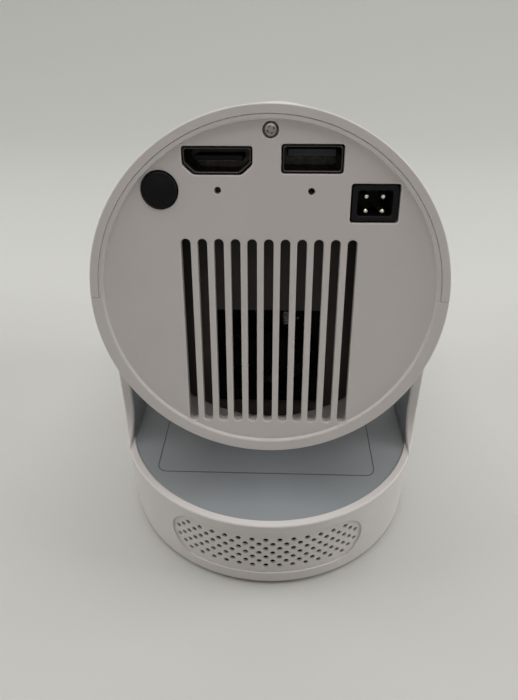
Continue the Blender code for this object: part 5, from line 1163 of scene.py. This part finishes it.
def lens_glass():
    """Front lens, a smooth cap with a ground edge, and the ring that holds it."""
    radius = TUBE_FRONT_SEAT_RADIUS - FIT_GAP
    rear = TUBE_FRONT_Y + TUBE_FRONT_SEAT - FIT_GAP
    profile = [(0.0, rear), (radius, rear), (radius, rear - FRONT_LENS_EDGE)]
    for step in range(1, FRONT_LENS_STEPS + 1):
        share = 1 - step / FRONT_LENS_STEPS
        profile.append((radius * share, rear - FRONT_LENS_EDGE - FRONT_LENS_BULGE * (1 - share ** 2)))
    piece = new_object(turn(profile, ROUND_STEPS // 2), "lens_glass")
    dress(piece, "lens", "front_lens", "clear_glass")
    inner = radius - RETAINER_WALL
    back = rear - FRONT_LENS_EDGE - FRONT_LENS_BULGE * (1 - (inner / radius) ** 2) - FIT_GAP
    front = back - RETAINER_LENGTH
    ring = [(inner, back), (radius, back), (radius, front + RETAINER_EDGE), (radius - RETAINER_EDGE, front)]
    ring.append((inner + RETAINER_BEVEL, front))
    piece = new_object(turn(ring, ROUND_STEPS // 2), "lens_ring")
    dress(piece, "lens", "lens_retainer", "black_gloss")


def wheel_outline(shrink):
    points = []
    tip = WHEEL_PITCH_CIRCLE + TOOTH_RISE - shrink
    root = WHEEL_PITCH_CIRCLE - TOOTH_SINK - shrink
    flank = [(root, TOOTH_ROOT_HALF), (tip - TOOTH_BEVEL, TOOTH_TIP_HALF), (tip, TOOTH_TIP_HALF / 2)]
    tooth_points = [(radius, -half) for radius, half in flank] + flank[::-1]
    for tooth in range(WHEEL_TEETH):
        middle = radians(270) + 2 * pi * tooth / WHEEL_TEETH
        for radius, half in tooth_points:
            angle = middle + half / radius
            points.append((radius * cos(angle), WHEEL_REACH + radius * sin(angle)))
    return points


def thumb_wheel():
    """Ribbed thumb wheel with softened rib ends."""
    half = WHEEL_WIDTH / 2
    body = softened(wheel_outline, WHEEL_Y - half, WHEEL_Y + half, WHEEL_EDGE)
    piece = new_object(turned(body, WHEEL_ANGLE, "Y"), "thumb_wheel")
    cut(piece, axle_cylinder(AXLE_RADIUS + FIT_GAP, SMALL_STEPS, WHEEL_WIDTH))
    dress(piece, "focus_wheel", "focus_wheel", "black_plastic")


# Stage

def stage_material():
    """Matt paper with painted light: a little paler behind the object than near the camera and far away."""
    made, tree, shader = shader_of("paper_backdrop_painted_light", FLOOR_PAINTED_LIGHT_TONES[1][1], roughness=0.75)
    # Painted light: the colour follows a ramp along Y, with a faint random mottle on top.
    along = add_node(tree, "SeparateXYZ", {"Vector": own_place(tree)}).outputs["Y"]
    span = add_node(tree, "MapRange", {"From Min": STAGE_FAR, "From Max": STAGE_NEAR, "Value": along})
    level = add_node(tree, "Math", {0: noise(tree, scale=2.2, detail=2), 1: STAGE_MOTTLE,
                                    2: span.outputs["Result"]}, "MULTIPLY_ADD")
    vary_colour(tree, shader, level.outputs["Value"], FLOOR_PAINTED_LIGHT_TONES)
    add_bump(tree, shader, noise(tree, scale=700, detail=3), strength=0.08, distance=0.0001)
    return made


def backdrop():
    """Pale floor that curves up into a backdrop behind the object."""
    bm = bmesh.new()
    line = [(FLOOR_SIZE, 0.0), (BACKDROP_Y + BACKDROP_ROUND, 0.0)]
    line += arc((BACKDROP_Y + BACKDROP_ROUND, BACKDROP_ROUND), BACKDROP_ROUND, 270, 180, BACKDROP_STEPS)[1:]
    line.append((BACKDROP_Y, BACKDROP_HEIGHT))
    rows = [[bm.verts.new((x, y, z)) for x in (-FLOOR_SIZE, FLOOR_SIZE)] for y, z in line]
    for low, high in zip(rows, rows[1:]):
        bm.faces.new((low[0], low[1], high[1], high[0]))
    made = new_object(sealed(bm), "paper_sweep")
    made.data.materials.append(stage_material())
    made.data.shade_smooth()


def lights():
    for name, (place, size, power, colour) in SOFTBOXES.items():
        data = bpy.data.lights.new(name, "AREA")
        data.shape = "RECTANGLE"
        data.size, data.size_y = size
        data.energy = power
        data.color = colour
        lamp = add_object(name, data)
        lamp.location = place
        lamp.rotation_mode = "QUATERNION"
        lamp.rotation_quaternion = (Vector(LIGHT_AIM) - Vector(place)).to_track_quat("-Z", "Y")


def room():
    """A nearly dark world, seen pale by the camera and in reflections."""
    world = bpy.data.worlds.new("room")
    world.use_nodes = True
    tree = world.node_tree
    path = add_node(tree, "LightPath", {}).outputs
    seen = path["Is Camera Ray"]
    for other in ("Is Glossy Ray", "Is Transmission Ray"):
        seen = add_node(tree, "Math", {0: seen, 1: path[other]}, "MAXIMUM").outputs["Value"]
    level = add_node(tree, "MapRange", {"To Min": ROOM_LIGHT, "To Max": ROOM_SEEN, "Value": seen})
    back = tree.nodes["Background"]
    set_inputs(tree, back, {"Color": (*ROOM_COLOUR, 1.0), "Strength": level.outputs["Result"]})
    bpy.context.scene.world = world


def camera():
    data = bpy.data.cameras.new("photo_camera")
    data.sensor_width = SENSOR
    data.lens = FOCAL_PIXELS / IMAGE_LONG_SIDE * SENSOR
    data.clip_start = 0.005
    data.clip_end = 20.0
    made = add_object("photo_camera", data)
    level = cos(CAMERA_PITCH)
    forward = Vector((sin(CAMERA_YAW) * level, -cos(CAMERA_YAW) * level, -sin(CAMERA_PITCH)))
    right = forward.cross(Vector((0.0, 0.0, 1.0))).normalized()
    up = right.cross(forward)
    rolled_right = right * cos(CAMERA_ROLL) + up * sin(CAMERA_ROLL)
    rolled_up = up * cos(CAMERA_ROLL) - right * sin(CAMERA_ROLL)
    turn_matrix = Matrix((rolled_right, rolled_up, -forward)).transposed()
    made.matrix_world = Matrix.Translation(CAMERA_PLACE) @ turn_matrix.to_4x4()
    bpy.context.scene.camera = made


def main():
    dress_cad_nodes()
    stand_moulding()
    yoke_floor()
    label_edge_shadow()
    arm_cover(1, "left")
    arm_cover(-1, "right")
    foot_pad()
    barrel_lower()
    barrel_upper()
    power_key()
    screw_head()
    socket_mouth("hdmi_mouth", hdmi_outline, HDMI_DEPTH, "hdmi_shell")
    socket_mouth("usb_mouth", usb_outline, USB_DEPTH, "usb_shell")
    tongue("hdmi_blade", HDMI_CENTRE, HDMI_DEPTH, HDMI_TONGUE, "hdmi_tongue", "socket_black_painted_shade")
    tongue("usb_blade", USB_CENTRE, USB_DEPTH, USB_TONGUE, "usb_tongue", "tongue_blue")
    power_inlet()
    front_face()
    lens_barrel()
    lens_glass()
    thumb_wheel()
    backdrop()
    lights()
    room()
    camera()
    bpy.context.scene.view_settings.view_transform = "Standard"


main()
